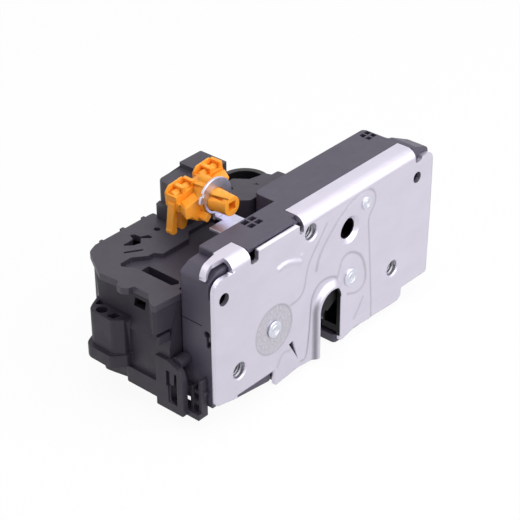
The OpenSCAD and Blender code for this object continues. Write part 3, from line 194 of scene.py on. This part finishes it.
def two_tone(tree, shader, where, first, second, size, detail=2.0):
    """Colour that drifts between two tones."""
    noise = noise_of(tree, where, size, detail)
    ramp = add(tree, "ShaderNodeValToRGB", [(noise, "Fac")])
    for stop, position, tone in zip(ramp.color_ramp.elements, (0.35, 0.65), (first, second)):
        stop.position, stop.color = position, linear(tone)
    tree.links.new(ramp.outputs["Color"], shader.inputs["Base Color"])
    return ramp.outputs["Color"]


def galvanised_sheet():
    # Cold-rolled, electro-galvanised sheet: satin and even, with painted shade darkening it along
    # the bottom of the creases, round the coined disc and on the slot rim's slope
    material, tree, shader = new_material("galvanised_sheet", Metallic=0.9)
    where = place_mm(tree, (0.5, 1, 1))
    tone = two_tone(tree, shader, where, "#cfcad8", "#d3cedc", size=7.0, detail=3.0)
    patchy_sheen(tree, shader, where, size=1.0, low=0.36, high=0.42, detail=4.0)
    grain(tree, shader, where, size=0.3, depth=0.0018)
    # Painted shade: where the plate's corners carry it, the colour is darkened towards the shade
    # grey below
    painted_shade_layer = add(tree, "ShaderNodeAttribute", attribute_name="painted_shade_layer")
    painted_shade = add(tree, "ShaderNodeMix", [(painted_shade_layer.outputs["Fac"], MIX_FACTOR), (tone, MIX_A)],
               data_type="RGBA")
    painted_shade.inputs[MIX_B].default_value = linear("#807d86")
    tree.links.new(painted_shade.outputs[MIX_RESULT], shader.inputs["Base Color"])
    return material


def coined_sheet():
    # The same sheet where a die has struck it: rough, with crossed marks that break up the light
    material, tree, shader = new_material("coined_sheet", Metallic=0.9)
    where = place_mm(tree)
    two_tone(tree, shader, where, "#b6b3bc", "#cac7d1", size=0.9, detail=5.0)
    patchy_sheen(tree, shader, where, size=0.6, low=0.4, high=0.55, detail=4.0)
    grain(tree, shader, where, size=0.5, depth=0.012, detail=5.0)
    return material


def smooth_metal(name, first, second, rough):
    # Plated or tumbled metal: an even sheen that follows the form, with hardly any grain
    material, tree, shader = new_material(name, Metallic=1.0)
    where = place_mm(tree)
    two_tone(tree, shader, where, first, second, size=1.5)
    patchy_sheen(tree, shader, where, size=0.8, low=rough - 0.03, high=rough + 0.04)
    grain(tree, shader, where, size=0.25, depth=0.0005)
    return material


def moulded(name, first, second, rough, size=0.28, depth=0.004, ior=1.5):
    # Plastic from a spark-eroded mould: a fine even grain of that size and depth, and a soft sheen
    material, tree, shader = new_material(name, Metallic=0.0, IOR=ior)
    where = place_mm(tree)
    two_tone(tree, shader, where, first, second, size=9.0, detail=3.0)
    patchy_sheen(tree, shader, where, size=4.0, low=rough - 0.05, high=rough + 0.05)
    grain(tree, shader, where, size, depth)
    return material


def orange_acetal():
    # Acetal in signal orange, moulded in a polished tool: waxy, a little light passes into it
    material, tree, shader = new_material(
        "orange_acetal", IOR=1.48, Subsurface_Weight=0.3,
        Subsurface_Radius=(0.0012, 0.0005, 0.0002), Subsurface_Scale=1.0)
    where = place_mm(tree)
    two_tone(tree, shader, where, "#ffa32a", "#ffa933", size=6.0)
    patchy_sheen(tree, shader, where, size=3.0, low=0.38, high=0.46)
    grain(tree, shader, where, size=0.35, depth=0.002)
    return material


sheet_steel = galvanised_sheet()
pressed_steel = coined_sheet()
# Clear zinc plating over headed steel: the brightest metal here, slightly blue
rivet_zinc = smooth_metal("zinc_plated_rivet", "#cfd1dc", "#d8dae4", 0.34)
# Clear zinc plating over stamped or turned steel: a little softer than the rivets
bracket_zinc = smooth_metal("zinc_plated_bracket", "#c6c5d8", "#d0cfe0", 0.38)
# Hardened steel, fine-blanked or cut and tumbled: mid grey and satin
lever_steel = smooth_metal("fine_blanked_steel", "#85868c", "#97989e", 0.38)
# Drawn and tempered wire: dark grey with a narrow shine
spring_steel = smooth_metal("spring_wire", "#6d6e74", "#7f8086", 0.3)
# Glass-filled nylon of the shell: the palest black, greyish violet
shell_black = moulded("shell_plastic", "#454050", "#484353", 0.46)
# Filled polypropylene of the flank's case: darker, with a weak sheen
case_black = moulded("case_plastic", "#2b2732", "#2e2a35", 0.5, ior=1.4)
# Filled polypropylene of the lids and the plug housing: between shell and case
cover_black = moulded("cover_plastic", "#36313d", "#393440", 0.5)
# Unfilled plastic of the cable's hood: deep black
cup_black = moulded("cup_plastic", "#151418", "#1b1a1e", 0.42)
# Soft plastic that lines the steel: near black, hardly any sheen
lining_black = moulded("lining_plastic", "#0d0d10", "#121215", 0.5, ior=1.3)
# Moulded rubber: matt, with a coarse skin
bumper_rubber = moulded("bumper_rubber", "#18181a", "#1f1f21", 0.75, size=0.2, depth=0.01)
# Acetal of the gears: black and slightly waxy, with a shallow grain
gear_acetal = moulded("black_acetal", "#1c1c1f", "#222225", 0.4, size=0.4, depth=0.002)
# Tinned brass of the plug's pins: warm and glossy
tinned_brass = smooth_metal("tinned_brass", "#b9a878", "#cdbd8c", 0.25)
coupling_orange = orange_acetal()


# ---------------------------------------------------------------- mesh tools
# Distances in metres under which corners are one, or are near enough to be taken for one
WELD, NEAR = 2e-6, 2e-5
# Faces that meet at less than the first angle are one plane, at more than the second an edge
FLAT, SHARP = math.radians(0.6), math.radians(34)
TURN_STEPS = 64


def as_mesh(bm, name, angle=32):
    """The bmesh as a mesh, smooth but for edges sharper than the angle, in degrees."""
    mesh = bpy.data.meshes.new(name)
    bm.to_mesh(mesh)
    bm.free()
    for face in mesh.polygons:
        face.use_smooth = True
    mesh.set_sharp_from_angle(angle=math.radians(angle))
    return mesh


def finish_piece(mesh, material, node, extra=()):
    """Links a finished mesh as a piece of its name that rides with its node's body."""
    piece = bpy.data.objects.new(mesh.name, mesh)
    scene.collection.objects.link(piece)
    mesh.materials.clear()
    for m in (material, *extra):
        mesh.materials.append(m)
    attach(piece, body_of[node])
    return piece


def weld(bm):
    """Joins corners that lie on one another, and faces that lie in one plane."""
    bmesh.ops.remove_doubles(bm, verts=bm.verts, dist=WELD)
    bmesh.ops.dissolve_limit(bm, angle_limit=FLAT, verts=bm.verts, edges=bm.edges)


def merged_copy(node):
    """The node's mesh with its loose triangles welded and its flat faces joined."""
    bm = bmesh.new()
    bm.from_mesh(nodes[node].data)
    weld(bm)
    return bm


def ring_of(bm, places):
    """A closed ring of corners and edges through those places."""
    corners = [bm.verts.new(place) for place in places]
    edges = [bm.edges.new((corners[i], corners[(i + 1) % len(corners)]))
             for i in range(len(corners))]
    return corners, edges


def strays(bm, skin, width):
    """Corners of the triangles that a bevel threw off the skin or turned round."""
    smallest, touching, turned = 0.004 * MM * MM, 0.01 * MM, -0.5
    cut = bm.copy()
    bmesh.ops.triangulate(cut, faces=cut.faces)
    spots = []
    for face in cut.faces:
        if face.calc_area() > smallest:
            _, normal, _, gap = skin.find_nearest(face.calc_center_median())
            if gap > width * MM or (gap < touching and normal.dot(face.normal) < turned):
                spots += [v.co.copy() for v in face.verts]
    cut.free()
    return spots


def softened(node, material, width, reshape=None):
    """A copy of a CAD node, reshaped if need be, with its sharp edges rounded by width, in mm.
    Where a try throws triangles off the skin, the next one leaves the edges near them alone."""
    tries, kept_off = 4, 0.6 * MM
    tight = []
    for _ in range(tries):
        bm = merged_copy(node)
        if reshape:
            reshape(bm)
        skin = BVHTree.FromBMesh(bm)
        sharp = [e for e in bm.edges
                 if len(e.link_faces) == 2 and e.calc_face_angle(0) > SHARP
                 and not any((v.co - spot).length < kept_off for v in e.verts for spot in tight)]
        bmesh.ops.bevel(bm, geom=sharp, offset=width * MM, offset_type="OFFSET", segments=2,
                        profile=0.5, affect="EDGES", clamp_overlap=False, material=-1)
        found = strays(bm, skin, width)
        if not found:
            break
        tight += found
    piece = finish_piece(as_mesh(bm, node + "_form"), material, node)
    weight = piece.modifiers.new("flat faces stay flat", "WEIGHTED_NORMAL")
    weight.keep_sharp = True
    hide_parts(node)


def plain(node, material):
    """Gives a CAD node that needs no rounding its material."""
    nodes[node].data.materials.clear()
    nodes[node].data.materials.append(material)


# ---------------------------------------------------------------- face plate
# Creases that the press left, from lower end to upper end: the step's height in mm, and plate
# coordinates x, z. The side to the left of the line's run stands further out.
CREASES = (
    (0.34, ((81.8, 1.5), (81.4, 11), (80.6, 19.2), (79.6, 31.2), (78.9, 39.1), (78.4, 43.8),
            (79.6, 46.2), (82.1, 48.8), (82.2, 52.4), (80.2, 55.3), (75.6, 56.4), (70.6, 55.4),
            (66.6, 53.5), (61.8, 50.6), (57, 46.3), (52.2, 41.3), (50.8, 36.4))),
    (0.3, ((62, 28.4), (63.8, 34.2), (67.3, 35.9), (71.4, 34.5), (75.7, 30.8), (77.8, 25.2),
           (78.3, 20.4), (77.3, 17.7), (73.7, 16), (67.9, 18.2))),
    (0.26, ((37.4, 29.4), (41.7, 29.8), (44.1, 32), (45, 36.7), (46.4, 41.1), (49.2, 44.9),
            (52, 47.9), (55.8, 52.6))),
    (0.22, ((77, 12.8), (74.1, 8.4), (72.1, 5.9))),
    (0.3, ((43, 3.6), (45.5, 3), (46.9, 10.9), (47.7, 20.4), (48.1, 25.5), (49.5, 28.5),
           (52.4, 30.8), (56.4, 31.1), (61.4, 29.4), (62.5, 26.6))),
    (0.2, ((37.1, 10.7), (33.2, 12), (30.6, 7.2))),
)
# A crease's half width, how far beside it the sheet eases back, how far its ends run out
CREASE_HALF, CREASE_EASE, CREASE_RUNOUT = 0.35, 7, 1.2
# The painted shade line beside a crease: how far over, how wide, and how dark
CREASE_SHADE_OVER, CREASE_SHADE_WIDTH, CREASE_SHADE_SHARE = 0.2, 0.45, 1.6

# The coined disc round the pawl's rivet: x, z and radius, then its depth and its edge, then the
# painted shade ring at its edge: how dark and how wide
PIVOT_DISC = (28.9, 23.8, 9.0)
DISC_DEPTH, DISC_EDGE, DISC_SHADE, DISC_SHADE_WIDTH = 0.22, 0.22, 0.55, 0.4
DISC_INSET, DISC_DEEPEST = 0.3, 0.9

# The short bead that stands out of the plate, and the pip at its right end
BEAD = ((31, 46.5), (34.8, 47), (39, 45.6), (42.2, 44.1))
BEAD_HEIGHT, BEAD_HALF = 0.55, 0.95
PIP, PIP_HEIGHT, PIP_SPREAD = (42.9, 46.2), 0.4, 0.5

# The striker slot and the pressed rim round it: how far it stands out, its flat top, its slope
SLOT_X, SLOT_R, SLOT_ARCH, RIM_OUT, RIM_FLAT, RIM_RAMP = 58.2, 6.5, 19.0, 1.4, 0.45, 2.9
# Angles round the arch, in degrees: where the rim begins and is full, where the painted shade on
# its slope begins and is full, then how dark that shade is
RIM_BEGINS, RIM_FULL, RIM_SHADE_BEGINS, RIM_SHADE_FULL, RIM_SHADE_SHARE = 25, 80, 100, 160, 3.6

# The fixing bores' threads, M6 x 1
THREADS = ((11.7, 16.5), (93.9, 16.5), (47.9, 52.9))
CREST_R, ROOT_R, BORE_R = 2.5, 3.0, 2.95
THREAD_START, THREAD_END, PITCH = 1.3, 5.6, 1.0
CREST_HALF, ROOT_HALF, STEPS_A_TURN = 0.06, 0.48, 40

# Cells that the outer face is cut into: their size and the area that they cover, in mm, and a
# shift in metres that keeps the cuts off the plate's own corners
GRID, QUICK_GRID, GRID_SHIFT = 0.5, 1.2, 0.00001
GRID_LOW, GRID_HIGH = (-2, 0, -2), (118, 0, 61)


def flowing(line):
    """The line with its corners cut twice, so that it runs as a curve."""
    for _ in range(2):
        cut = [line[0]]
        for (ax, az), (bx, bz) in zip(line, line[1:]):
            cut += [(0.75 * ax + 0.25 * bx, 0.75 * az + 0.25 * bz),
                    (0.25 * ax + 0.75 * bx, 0.25 * az + 0.75 * bz)]
        line = cut + [line[-1]]
    return line


def along(points, line):
    """Signed distance of each point from a line, and how far past its ends the point lies."""
    best = np.full(len(points), 1e9)
    signed = np.zeros(len(points))
    past = np.zeros(len(points))
    for i in range(len(line) - 1):
        a, b = np.array(line[i]), np.array(line[i + 1])
        run = b - a
        t = ((points - a) @ run) / (run @ run)
        near = a + np.clip(t, 0, 1)[:, None] * run
        gap = np.linalg.norm(points - near, axis=1)
        side = np.sign(run[0] * (points[:, 1] - a[1]) - run[1] * (points[:, 0] - a[0]))
        first, last = i == 0, i == len(line) - 2
        over = np.where((t < 0) & first, -t, 0) + np.where((t > 1) & last, t - 1, 0)
        closer = gap < best - 1e-9
        best[closer], signed[closer] = gap[closer], (side * gap)[closer]
        past[closer] = (over * np.linalg.norm(run))[closer]
    return signed, past


def eased(share):
    """A share from 0 to 1 that starts and ends gently."""
    return share * share * (3 - 2 * share)


def slot_lip(points):
    """Share of the rim's height at each point, full beside the slot and fading up the right of its
    arch, and how much shade is painted on its sloping side there, strongest towards the slot's
    left."""
    across, up = points[:, 0] - SLOT_X, points[:, 1] - SLOT_ARCH
    out = np.where(up > 0, np.hypot(across, up), np.abs(across)) - SLOT_R
    rise = np.clip((out - RIM_FLAT) / RIM_RAMP, 0, 1)
    turn = np.where(up > 0, np.degrees(np.arctan2(up, across)), np.where(across < 0, 180, 0))
    kept = eased(np.clip((turn - RIM_BEGINS) / (RIM_FULL - RIM_BEGINS), 0, 1))
    share = (1 - eased(rise)) * kept * (out > -0.05)
    # Painted shade on the rim's sloping side, growing round the arch to the slot's left
    rim_shade_by_turn = np.clip((turn - RIM_SHADE_BEGINS) / (RIM_SHADE_FULL - RIM_SHADE_BEGINS), 0, 1)
    return share, RIM_SHADE_SHARE * share * (1 - share) * rim_shade_by_turn


def stamped(points):
    """How far the press moved the sheet inwards at each point, in mm, and how much shade is
    painted on it there.
    """
    depth = np.zeros(len(points))
    painted_shade = np.zeros(len(points))
    for height, line in CREASES:
        signed, past = along(points, flowing(line))
        fade = np.exp(-past / CREASE_RUNOUT)
        beside = np.exp(-np.abs(signed) / CREASE_EASE)
        depth -= height / 2 * np.tanh(signed / CREASE_HALF) * beside * fade
        # A painted shade line runs along the lower side of each crease
        crease_shade_line = np.exp(-((signed + CREASE_SHADE_OVER) / CREASE_SHADE_WIDTH) ** 2)
        painted_shade = np.maximum(painted_shade, crease_shade_line * fade * height * CREASE_SHADE_SHARE)
    x, z, r = PIVOT_DISC
    out = np.linalg.norm(points - (x, z), axis=1) - r
    depth += DISC_DEPTH / (1 + np.exp(np.clip(out / DISC_EDGE, -40, 40)))
    # A painted shade ring darkens the coined disc's edge
    painted_shade = np.maximum(painted_shade, DISC_SHADE * np.exp(-(out / DISC_SHADE_WIDTH) ** 2))
    signed, past = along(points, flowing(BEAD))
    depth -= BEAD_HEIGHT * np.exp(-(signed / BEAD_HALF) ** 4) * np.exp(-past ** 2)
    depth -= PIP_HEIGHT * np.exp(-np.linalg.norm(points - PIP, axis=1) ** 2 / PIP_SPREAD)
    lip, rim_shade = slot_lip(points)
    return depth * (1 - lip) - RIM_OUT * lip, np.maximum(painted_shade * (1 - lip), rim_shade)


def outer_faces(bm):
    """Faces of the plate that look out of the door: the flat sheet and the slot's pressed rim."""
    return [f for f in bm.faces
            if f.normal.y < -0.05 and all(v.co.y < CORNER.y + WELD for v in f.verts)]


def cut_to_grid(bm, pitch):
    """Cuts the plate's outer face into small cells, so that it can take the pressed shapes."""
    low, high = at_plate(*GRID_LOW), at_plate(*GRID_HIGH)
    for axis, normal in ((0, (1, 0, 0)), (2, (0, 0, 1))):
        for i in range(int((high[axis] - low[axis]) / (pitch * MM))):
            spot = Vector((0, 0, 0))
            spot[axis] = low[axis] + i * pitch * MM + GRID_SHIFT
            front = outer_faces(bm)
            around = {v for f in front for v in f.verts}
            edges = {e for f in front for e in f.edges}
            bmesh.ops.bisect_plane(bm, geom=[*front, *edges, *around], dist=1e-7,
                                   plane_co=spot, plane_no=normal)


def open_threads(bm, centres):
    """Widens the fixing bores from the thread's crest to its root."""
    for centre in centres:
        for v in bm.verts:
            arm = Vector((v.co.x - centre.x, 0, v.co.z - centre.z))
            if abs(arm.length - CREST_R * MM) < NEAR:
                arm *= BORE_R / CREST_R
                v.co.x, v.co.z = centre.x + arm.x, centre.z + arm.z


def thread(name, centre):
    """One turn after another of a triangular ridge inside a fixing bore."""
    bm = bmesh.new()
    profile = ((ROOT_R, -ROOT_HALF), (CREST_R, -CREST_HALF), (CREST_R, CREST_HALF),
               (ROOT_R, ROOT_HALF))
    ring, edges = ring_of(bm, [centre + Vector((r * MM, (THREAD_START + y) * MM, 0))
                               for r, y in profile])
    steps = int((THREAD_END - THREAD_START) / PITCH * STEPS_A_TURN)
    bmesh.ops.spin(bm, geom=[*ring, *edges], cent=centre, axis=(0, -1, 0),
                   dvec=Vector((0, PITCH / STEPS_A_TURN, 0)) * MM,
                   angle=math.tau * steps / STEPS_A_TURN, steps=steps, use_duplicate=False)
    bmesh.ops.recalc_face_normals(bm, faces=bm.faces)
    finish_piece(as_mesh(bm, name), lever_steel, "face_plate")


def build_face_plate():
    bm = merged_copy("face_plate")
    for v in bm.verts:
        v.co.y = max(v.co.y, CORNER.y)
    weld(bm)
    threads = [at_plate(x, 0, z) for x, z in THREADS]
    open_threads(bm, threads)
    cut_to_grid(bm, GRID)
    # Each outer corner keeps how much shade is painted on it there
    painted_shade_layer = bm.verts.layers.float.new("painted_shade_layer")
    front = list({v: None for f in outer_faces(bm) for v in f.verts})
    places = np.array([((v.co.x - CORNER.x) / MM, (v.co.z - CORNER.z) / MM) for v in front])
    for v, depth, painted_shade in zip(front, *stamped(places)):
        v.co.y = CORNER.y + depth * MM
        v[painted_shade_layer] = painted_shade
    bmesh.ops.remove_doubles(bm, verts=front, dist=NEAR)
    mesh = as_mesh(bm, "face_plate_form", 30)
    piece = finish_piece(mesh, sheet_steel, "face_plate", (pressed_steel,))
    disc_x, disc_z, disc_r = PIVOT_DISC
    for face in mesh.polygons:
        x, z = (face.center.x - CORNER.x) / MM, (face.center.z - CORNER.z) / MM
        if (face.center.y < CORNER.y + DISC_DEEPEST * MM
                and math.hypot(x - disc_x, z - disc_z) < disc_r - DISC_INSET):
            face.material_index = 1
    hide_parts("face_plate")
    for number, centre in enumerate(threads):
        thread(f"thread_{number}", centre)


# ---------------------------------------------------------------- rivets
# Name, x and z in the plate, the head's radius, and the shank behind it: radius and depth in mm
RIVETS = (
    ("catch_rivet", 69.5, 24.9, 3.4,
     ((2.8, 0), (2.8, 1.6), (4, 1.6), (4, 8.4), (2.8, 8.4), (2.8, 9.9), (3.55, 9.9), (3.55, 14),
      (3.3, 14.3), (0, 14.3))),
    ("pawl_rivet", 29, 24, 3.15,
     ((2.8, 0), (2.8, 1.6), (3.5, 1.6), (3.5, 8.4), (2.8, 8.4), (2.8, 9.9), (4.4, 9.9),
      (4.4, 10.7), (4, 11.1), (0, 11.1))),
    ("stop_rivet", 77.1, 51.2, 2.4,
     ((1.8, 0), (1.8, 9.9), (3, 9.9), (3, 10.6), (2.7, 10.9), (0, 10.9))),
)


def turned_piece(name, centre, profile, material, node):
    """A full turn of a profile of radius and depth, in mm, about a line along Y."""
    bm = bmesh.new()
    line = [bm.verts.new(centre + Vector((r, y, 0)) * MM) for r, y in profile]
    edges = [bm.edges.new(pair) for pair in zip(line, line[1:])]
    bmesh.ops.spin(bm, geom=[*line, *edges], cent=centre, axis=(0, 1, 0), angle=math.tau,
                   steps=TURN_STEPS, use_merge=True)
    bmesh.ops.remove_doubles(bm, verts=bm.verts, dist=1e-6)
    bmesh.ops.recalc_face_normals(bm, faces=bm.faces)
    piece = finish_piece(as_mesh(bm, name), material, node)
    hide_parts(node)


def head(radius):
    """Riveted head: flat crown with a struck ring and a shallow centre, rounded rim."""
    return ((0, -0.5), (0.24 * radius, -0.52), (0.3 * radius, -0.64), (0.52 * radius, -0.68),
            (0.57 * radius, -0.58), (0.62 * radius, -0.68), (0.84 * radius, -0.66),
            (0.95 * radius, -0.54), (radius, -0.3), (radius, 0))


# ---------------------------------------------------------------- coupling, plug housing
# Across and up are measured from the shaft's axis and depths from the plate, in mm
SHAFT_AXIS = (31, 0, 62.8)
# The shaft: the reach of its corners, its back end, its share of thickness, its turn in degrees
SHAFT_R, SHAFT_BACK, SHAFT_SHARE, SHAFT_TURN = 4.3, 28.02, 0.86, 20
# The middle stud: axis and reach, its front end, and the depth behind which it moves forward
STUD_X, STUD_Z, STUD_R, STUD_FRONT, STUD_MIDDLE = -0.6, 4.2, 2.5, 29.1, 36
# How far it goes over, the part of its width that it loses, how much shorter it gets
STUD_OVER, STUD_THINNER, STUD_SHORTER = 1.5, 0.2, 3.6
# The left clip socket and the leg under it: where they begin and how far each comes nearer
SOCKET_X, SOCKET_FRONT, SOCKET_OVER, LEG_TOP, LEG_OVER = -3.3, 33.2, 2.0, -6, 0.6
# The wing at the right: where it begins, its back, how much shorter it gets
WING_X, WING_BACK, WING_SHORTER = 8.2, 33.5, 2.4
# The stop finger: direction, root, tip, half width and back, then how much it loses at its
# sides, at its tip and at its face
FINGER_DIR = math.radians(226)
FINGER_FROM, FINGER_TIP, FINGER_SIDE, FINGER_BACK = 5, 8, 1.6, 29.5
FINGER_SLIMMER, FINGER_SHORTER, FINGER_FACE, FINGER_THINNER = 0.28, 1.1, 26, 0.9
# The plug housing: the height above which its walls are lowered, and by how much
TOP_FROM, TOP_LOWER = 59.5, 1.8


def finer_coupling(bm):
    """The coupling as the photograph shows it: the stud shorter and further over, the left socket
    nearer, the wing shorter, the stop finger slimmer and shorter, the shaft slimmer and turned."""
    axis = at_plate(*SHAFT_AXIS)
    along_x, along_z = math.cos(FINGER_DIR), math.sin(FINGER_DIR)
    for v in bm.verts:
        across, up = (v.co.x - axis.x) / MM, (v.co.z - axis.z) / MM
        if math.hypot(across - STUD_X, up - STUD_Z) < STUD_R and v.co.y > deep(STUD_FRONT):
            v.co.x += (STUD_OVER - STUD_THINNER * (across - STUD_X)) * MM
            if v.co.y > deep(STUD_MIDDLE):
                v.co.y -= STUD_SHORTER * MM
        elif across < SOCKET_X and v.co.y > deep(SOCKET_FRONT):
            v.co.x += (LEG_OVER if up < LEG_TOP else SOCKET_OVER) * MM
        elif across > WING_X and v.co.y < deep(WING_BACK):
            v.co.x -= WING_SHORTER * MM
        out = across * along_x + up * along_z
        side = up * along_x - across * along_z
        if out > FINGER_FROM and abs(side) < FINGER_SIDE and v.co.y < deep(FINGER_BACK):
            side *= -FINGER_SLIMMER
            out = -FINGER_SHORTER if out > FINGER_TIP else 0
            v.co.x += (out * along_x - side * along_z) * MM
            v.co.z += (out * along_z + side * along_x) * MM
            if v.co.y < deep(FINGER_FACE):
                v.co.y += FINGER_THINNER * MM
    turn = Matrix.Rotation(math.radians(SHAFT_TURN), 3, "Y") * SHAFT_SHARE
    for v in bm.verts:
        arm = Vector((v.co.x - axis.x, 0, v.co.z - axis.z))
        if v.co.y < deep(SHAFT_BACK) and arm.length < SHAFT_R * MM:
            arm = turn @ arm
            v.co.x, v.co.z = axis.x + arm.x, axis.z + arm.z


def lower_top(bm):
    """The plug housing's upper walls, which stand a little lower than in the solids."""
    for v in bm.verts:
        if v.co.z > at_plate(0, 0, TOP_FROM).z:
            v.co.z -= TOP_LOWER * MM


# ---------------------------------------------------------------- pieces
# Node, material, rounding of its edges in mm, change to its form
ROUNDED = (
    ("latch_shell", shell_black, 0.25),
    ("latch_housing", lining_black, 0.15),
    ("actuator_case", case_black, 0.22),
    ("actuator_cover", cover_black, 0.22),
    ("gear_cover", cover_black, 0.22),
    ("connector_housing", cover_black, 0.5, lower_top),
    ("cable_cup", cup_black, 0.3),
    ("back_plate", sheet_steel, 0.12),
    ("shell_screws", bracket_zinc, 0.15),
    ("rotary_catch", lever_steel, 0.15),
    ("catch_lining", lining_black, 0.1),
    ("pawl", lever_steel, 0.15),
    ("pawl_damper", lining_black, 0.1),
    ("release_lever", bracket_zinc, 0.15),
    ("release_pin", bracket_zinc, 0.15),
    ("coupling_bracket", bracket_zinc, 0.12),
    ("key_coupling", coupling_orange, 0.2, finer_coupling),
    ("lock_motor", bracket_zinc, 0.3),
)
PLAIN = (
    ("catch_bumper", bumper_rubber),
    ("catch_spring", spring_steel),
    ("pawl_spring", spring_steel),
    ("connector_pins", tinned_brass),
    ("motor_worm", gear_acetal),
    ("worm_wheel", gear_acetal),
    ("wheel_pin", bracket_zinc),
    ("lock_lever", gear_acetal),
    ("lock_pin", bracket_zinc),
    ("lock_switch", lining_black),
)
# The strip in the slot: its thickness, its gap to the wall and its depths in the plate, then the
# angle that it follows the arch for, the steps in it, and its lower end
EDGE_THICK, EDGE_GAP, EDGE_FRONT, EDGE_BACK = 0.45, 0.02, 0.35, 1.6
EDGE_TURN, EDGE_STEPS, EDGE_FOOT = 70, 20, 2.4


def slot_edge():
    """Thin lip of the shell's plastic that lines the right wall of the slot inside the sheet."""
    bm = bmesh.new()
    inner, outer = SLOT_R - EDGE_THICK, SLOT_R - EDGE_GAP
    profile = ((inner, EDGE_FRONT), (outer, EDGE_FRONT), (outer, EDGE_BACK), (inner, EDGE_BACK))
    ring, edges = ring_of(bm, [at_plate(SLOT_X + out, y, SLOT_ARCH) for out, y in profile])
    bmesh.ops.spin(bm, geom=[*ring, *edges], cent=at_plate(SLOT_X, 0, SLOT_ARCH),
                   axis=(0, -1, 0), angle=math.radians(EDGE_TURN), steps=EDGE_STEPS,
                   use_duplicate=False)
    leg = bmesh.ops.extrude_edge_only(bm, edges=edges)["geom"]
    bmesh.ops.translate(bm, vec=Vector((0, 0, EDGE_FOOT - SLOT_ARCH)) * MM,
                        verts=[v for v in leg if isinstance(v, bmesh.types.BMVert)])
    bmesh.ops.holes_fill(bm, edges=bm.edges, sides=4)
    bmesh.ops.recalc_face_normals(bm, faces=bm.faces)
    finish_piece(as_mesh(bm, "slot_edge"), lining_black, "latch_shell")


for row in ROUNDED:
    softened(*row)
for node, material in PLAIN:
    plain(node, material)
build_face_plate()
for name, x, z, radius, shank in RIVETS:
    turned_piece(name + "_form", at_plate(x, 0, z), head(radius) + shank, rivet_zinc, name)
slot_edge()


# ---------------------------------------------------------------- floor, background
FLOOR_SIZE, FLOOR_GAP, FLOOR_GLOW = 6, 0.0002, 0.94


def seen_itself(tree):
    """1 where a ray from the camera, or one through glass or off metal, meets this itself."""
    path = add(tree, "ShaderNodeLightPath")
    first = add(tree, "ShaderNodeMath",
                [(path.outputs["Is Camera Ray"], 0), (path.outputs["Is Glossy Ray"], 1)],
                operation="MAXIMUM")
    return add(tree, "ShaderNodeMath",
               [(first.outputs[0], 0), (path.outputs["Is Transmission Ray"], 1)],
               operation="MAXIMUM").outputs[0]


def add_floor():
    bpy.ops.mesh.primitive_plane_add(size=FLOOR_SIZE, location=(0, 0, cad_box[0].z - FLOOR_GAP))
    floor = bpy.context.object
    floor.name = "floor"
    # White paper: matt, it takes the part's shadow and glows to the camera's white elsewhere
    material = bpy.data.materials.new("white_paper")
    material.use_nodes = True
    tree = material.node_tree
    tree.nodes.clear()
    paper = add(tree, "ShaderNodeBsdfDiffuse", Color=(0.9, 0.9, 0.9, 1))
    glow = add(tree, "ShaderNodeEmission", Color=(1, 1, 1, 1), Strength=1.0)
    share = add(tree, "ShaderNodeMath", [(seen_itself(tree), 0)], operation="MULTIPLY")
    share.inputs[1].default_value = FLOOR_GLOW
    mix = add(tree, "ShaderNodeMixShader",
              [(share.outputs[0], 0), (paper.outputs[0], 1), (glow.outputs[0], 2)])
    add(tree, "ShaderNodeOutputMaterial", [(mix.outputs[0], "Surface")])
    floor.data.materials.append(material)


def add_background():
    """A dim room that the metal mirrors, and white behind the part."""
    world = bpy.data.worlds.new("white_room")
    scene.world = world
    world.use_nodes = True
    tree = world.node_tree
    tree.nodes.clear()
    room = add(tree, "ShaderNodeBackground", Color=(0.97, 0.98, 1, 1), Strength=0.2)
    backdrop = add(tree, "ShaderNodeBackground", Color=(1, 1, 1, 1), Strength=1.0)
    mix = add(tree, "ShaderNodeMixShader",
              [(seen_itself(tree), 0), (room.outputs[0], 1), (backdrop.outputs[0], 2)])
    add(tree, "ShaderNodeOutputWorld", [(mix.outputs[0], "Surface")])


add_floor()
add_background()
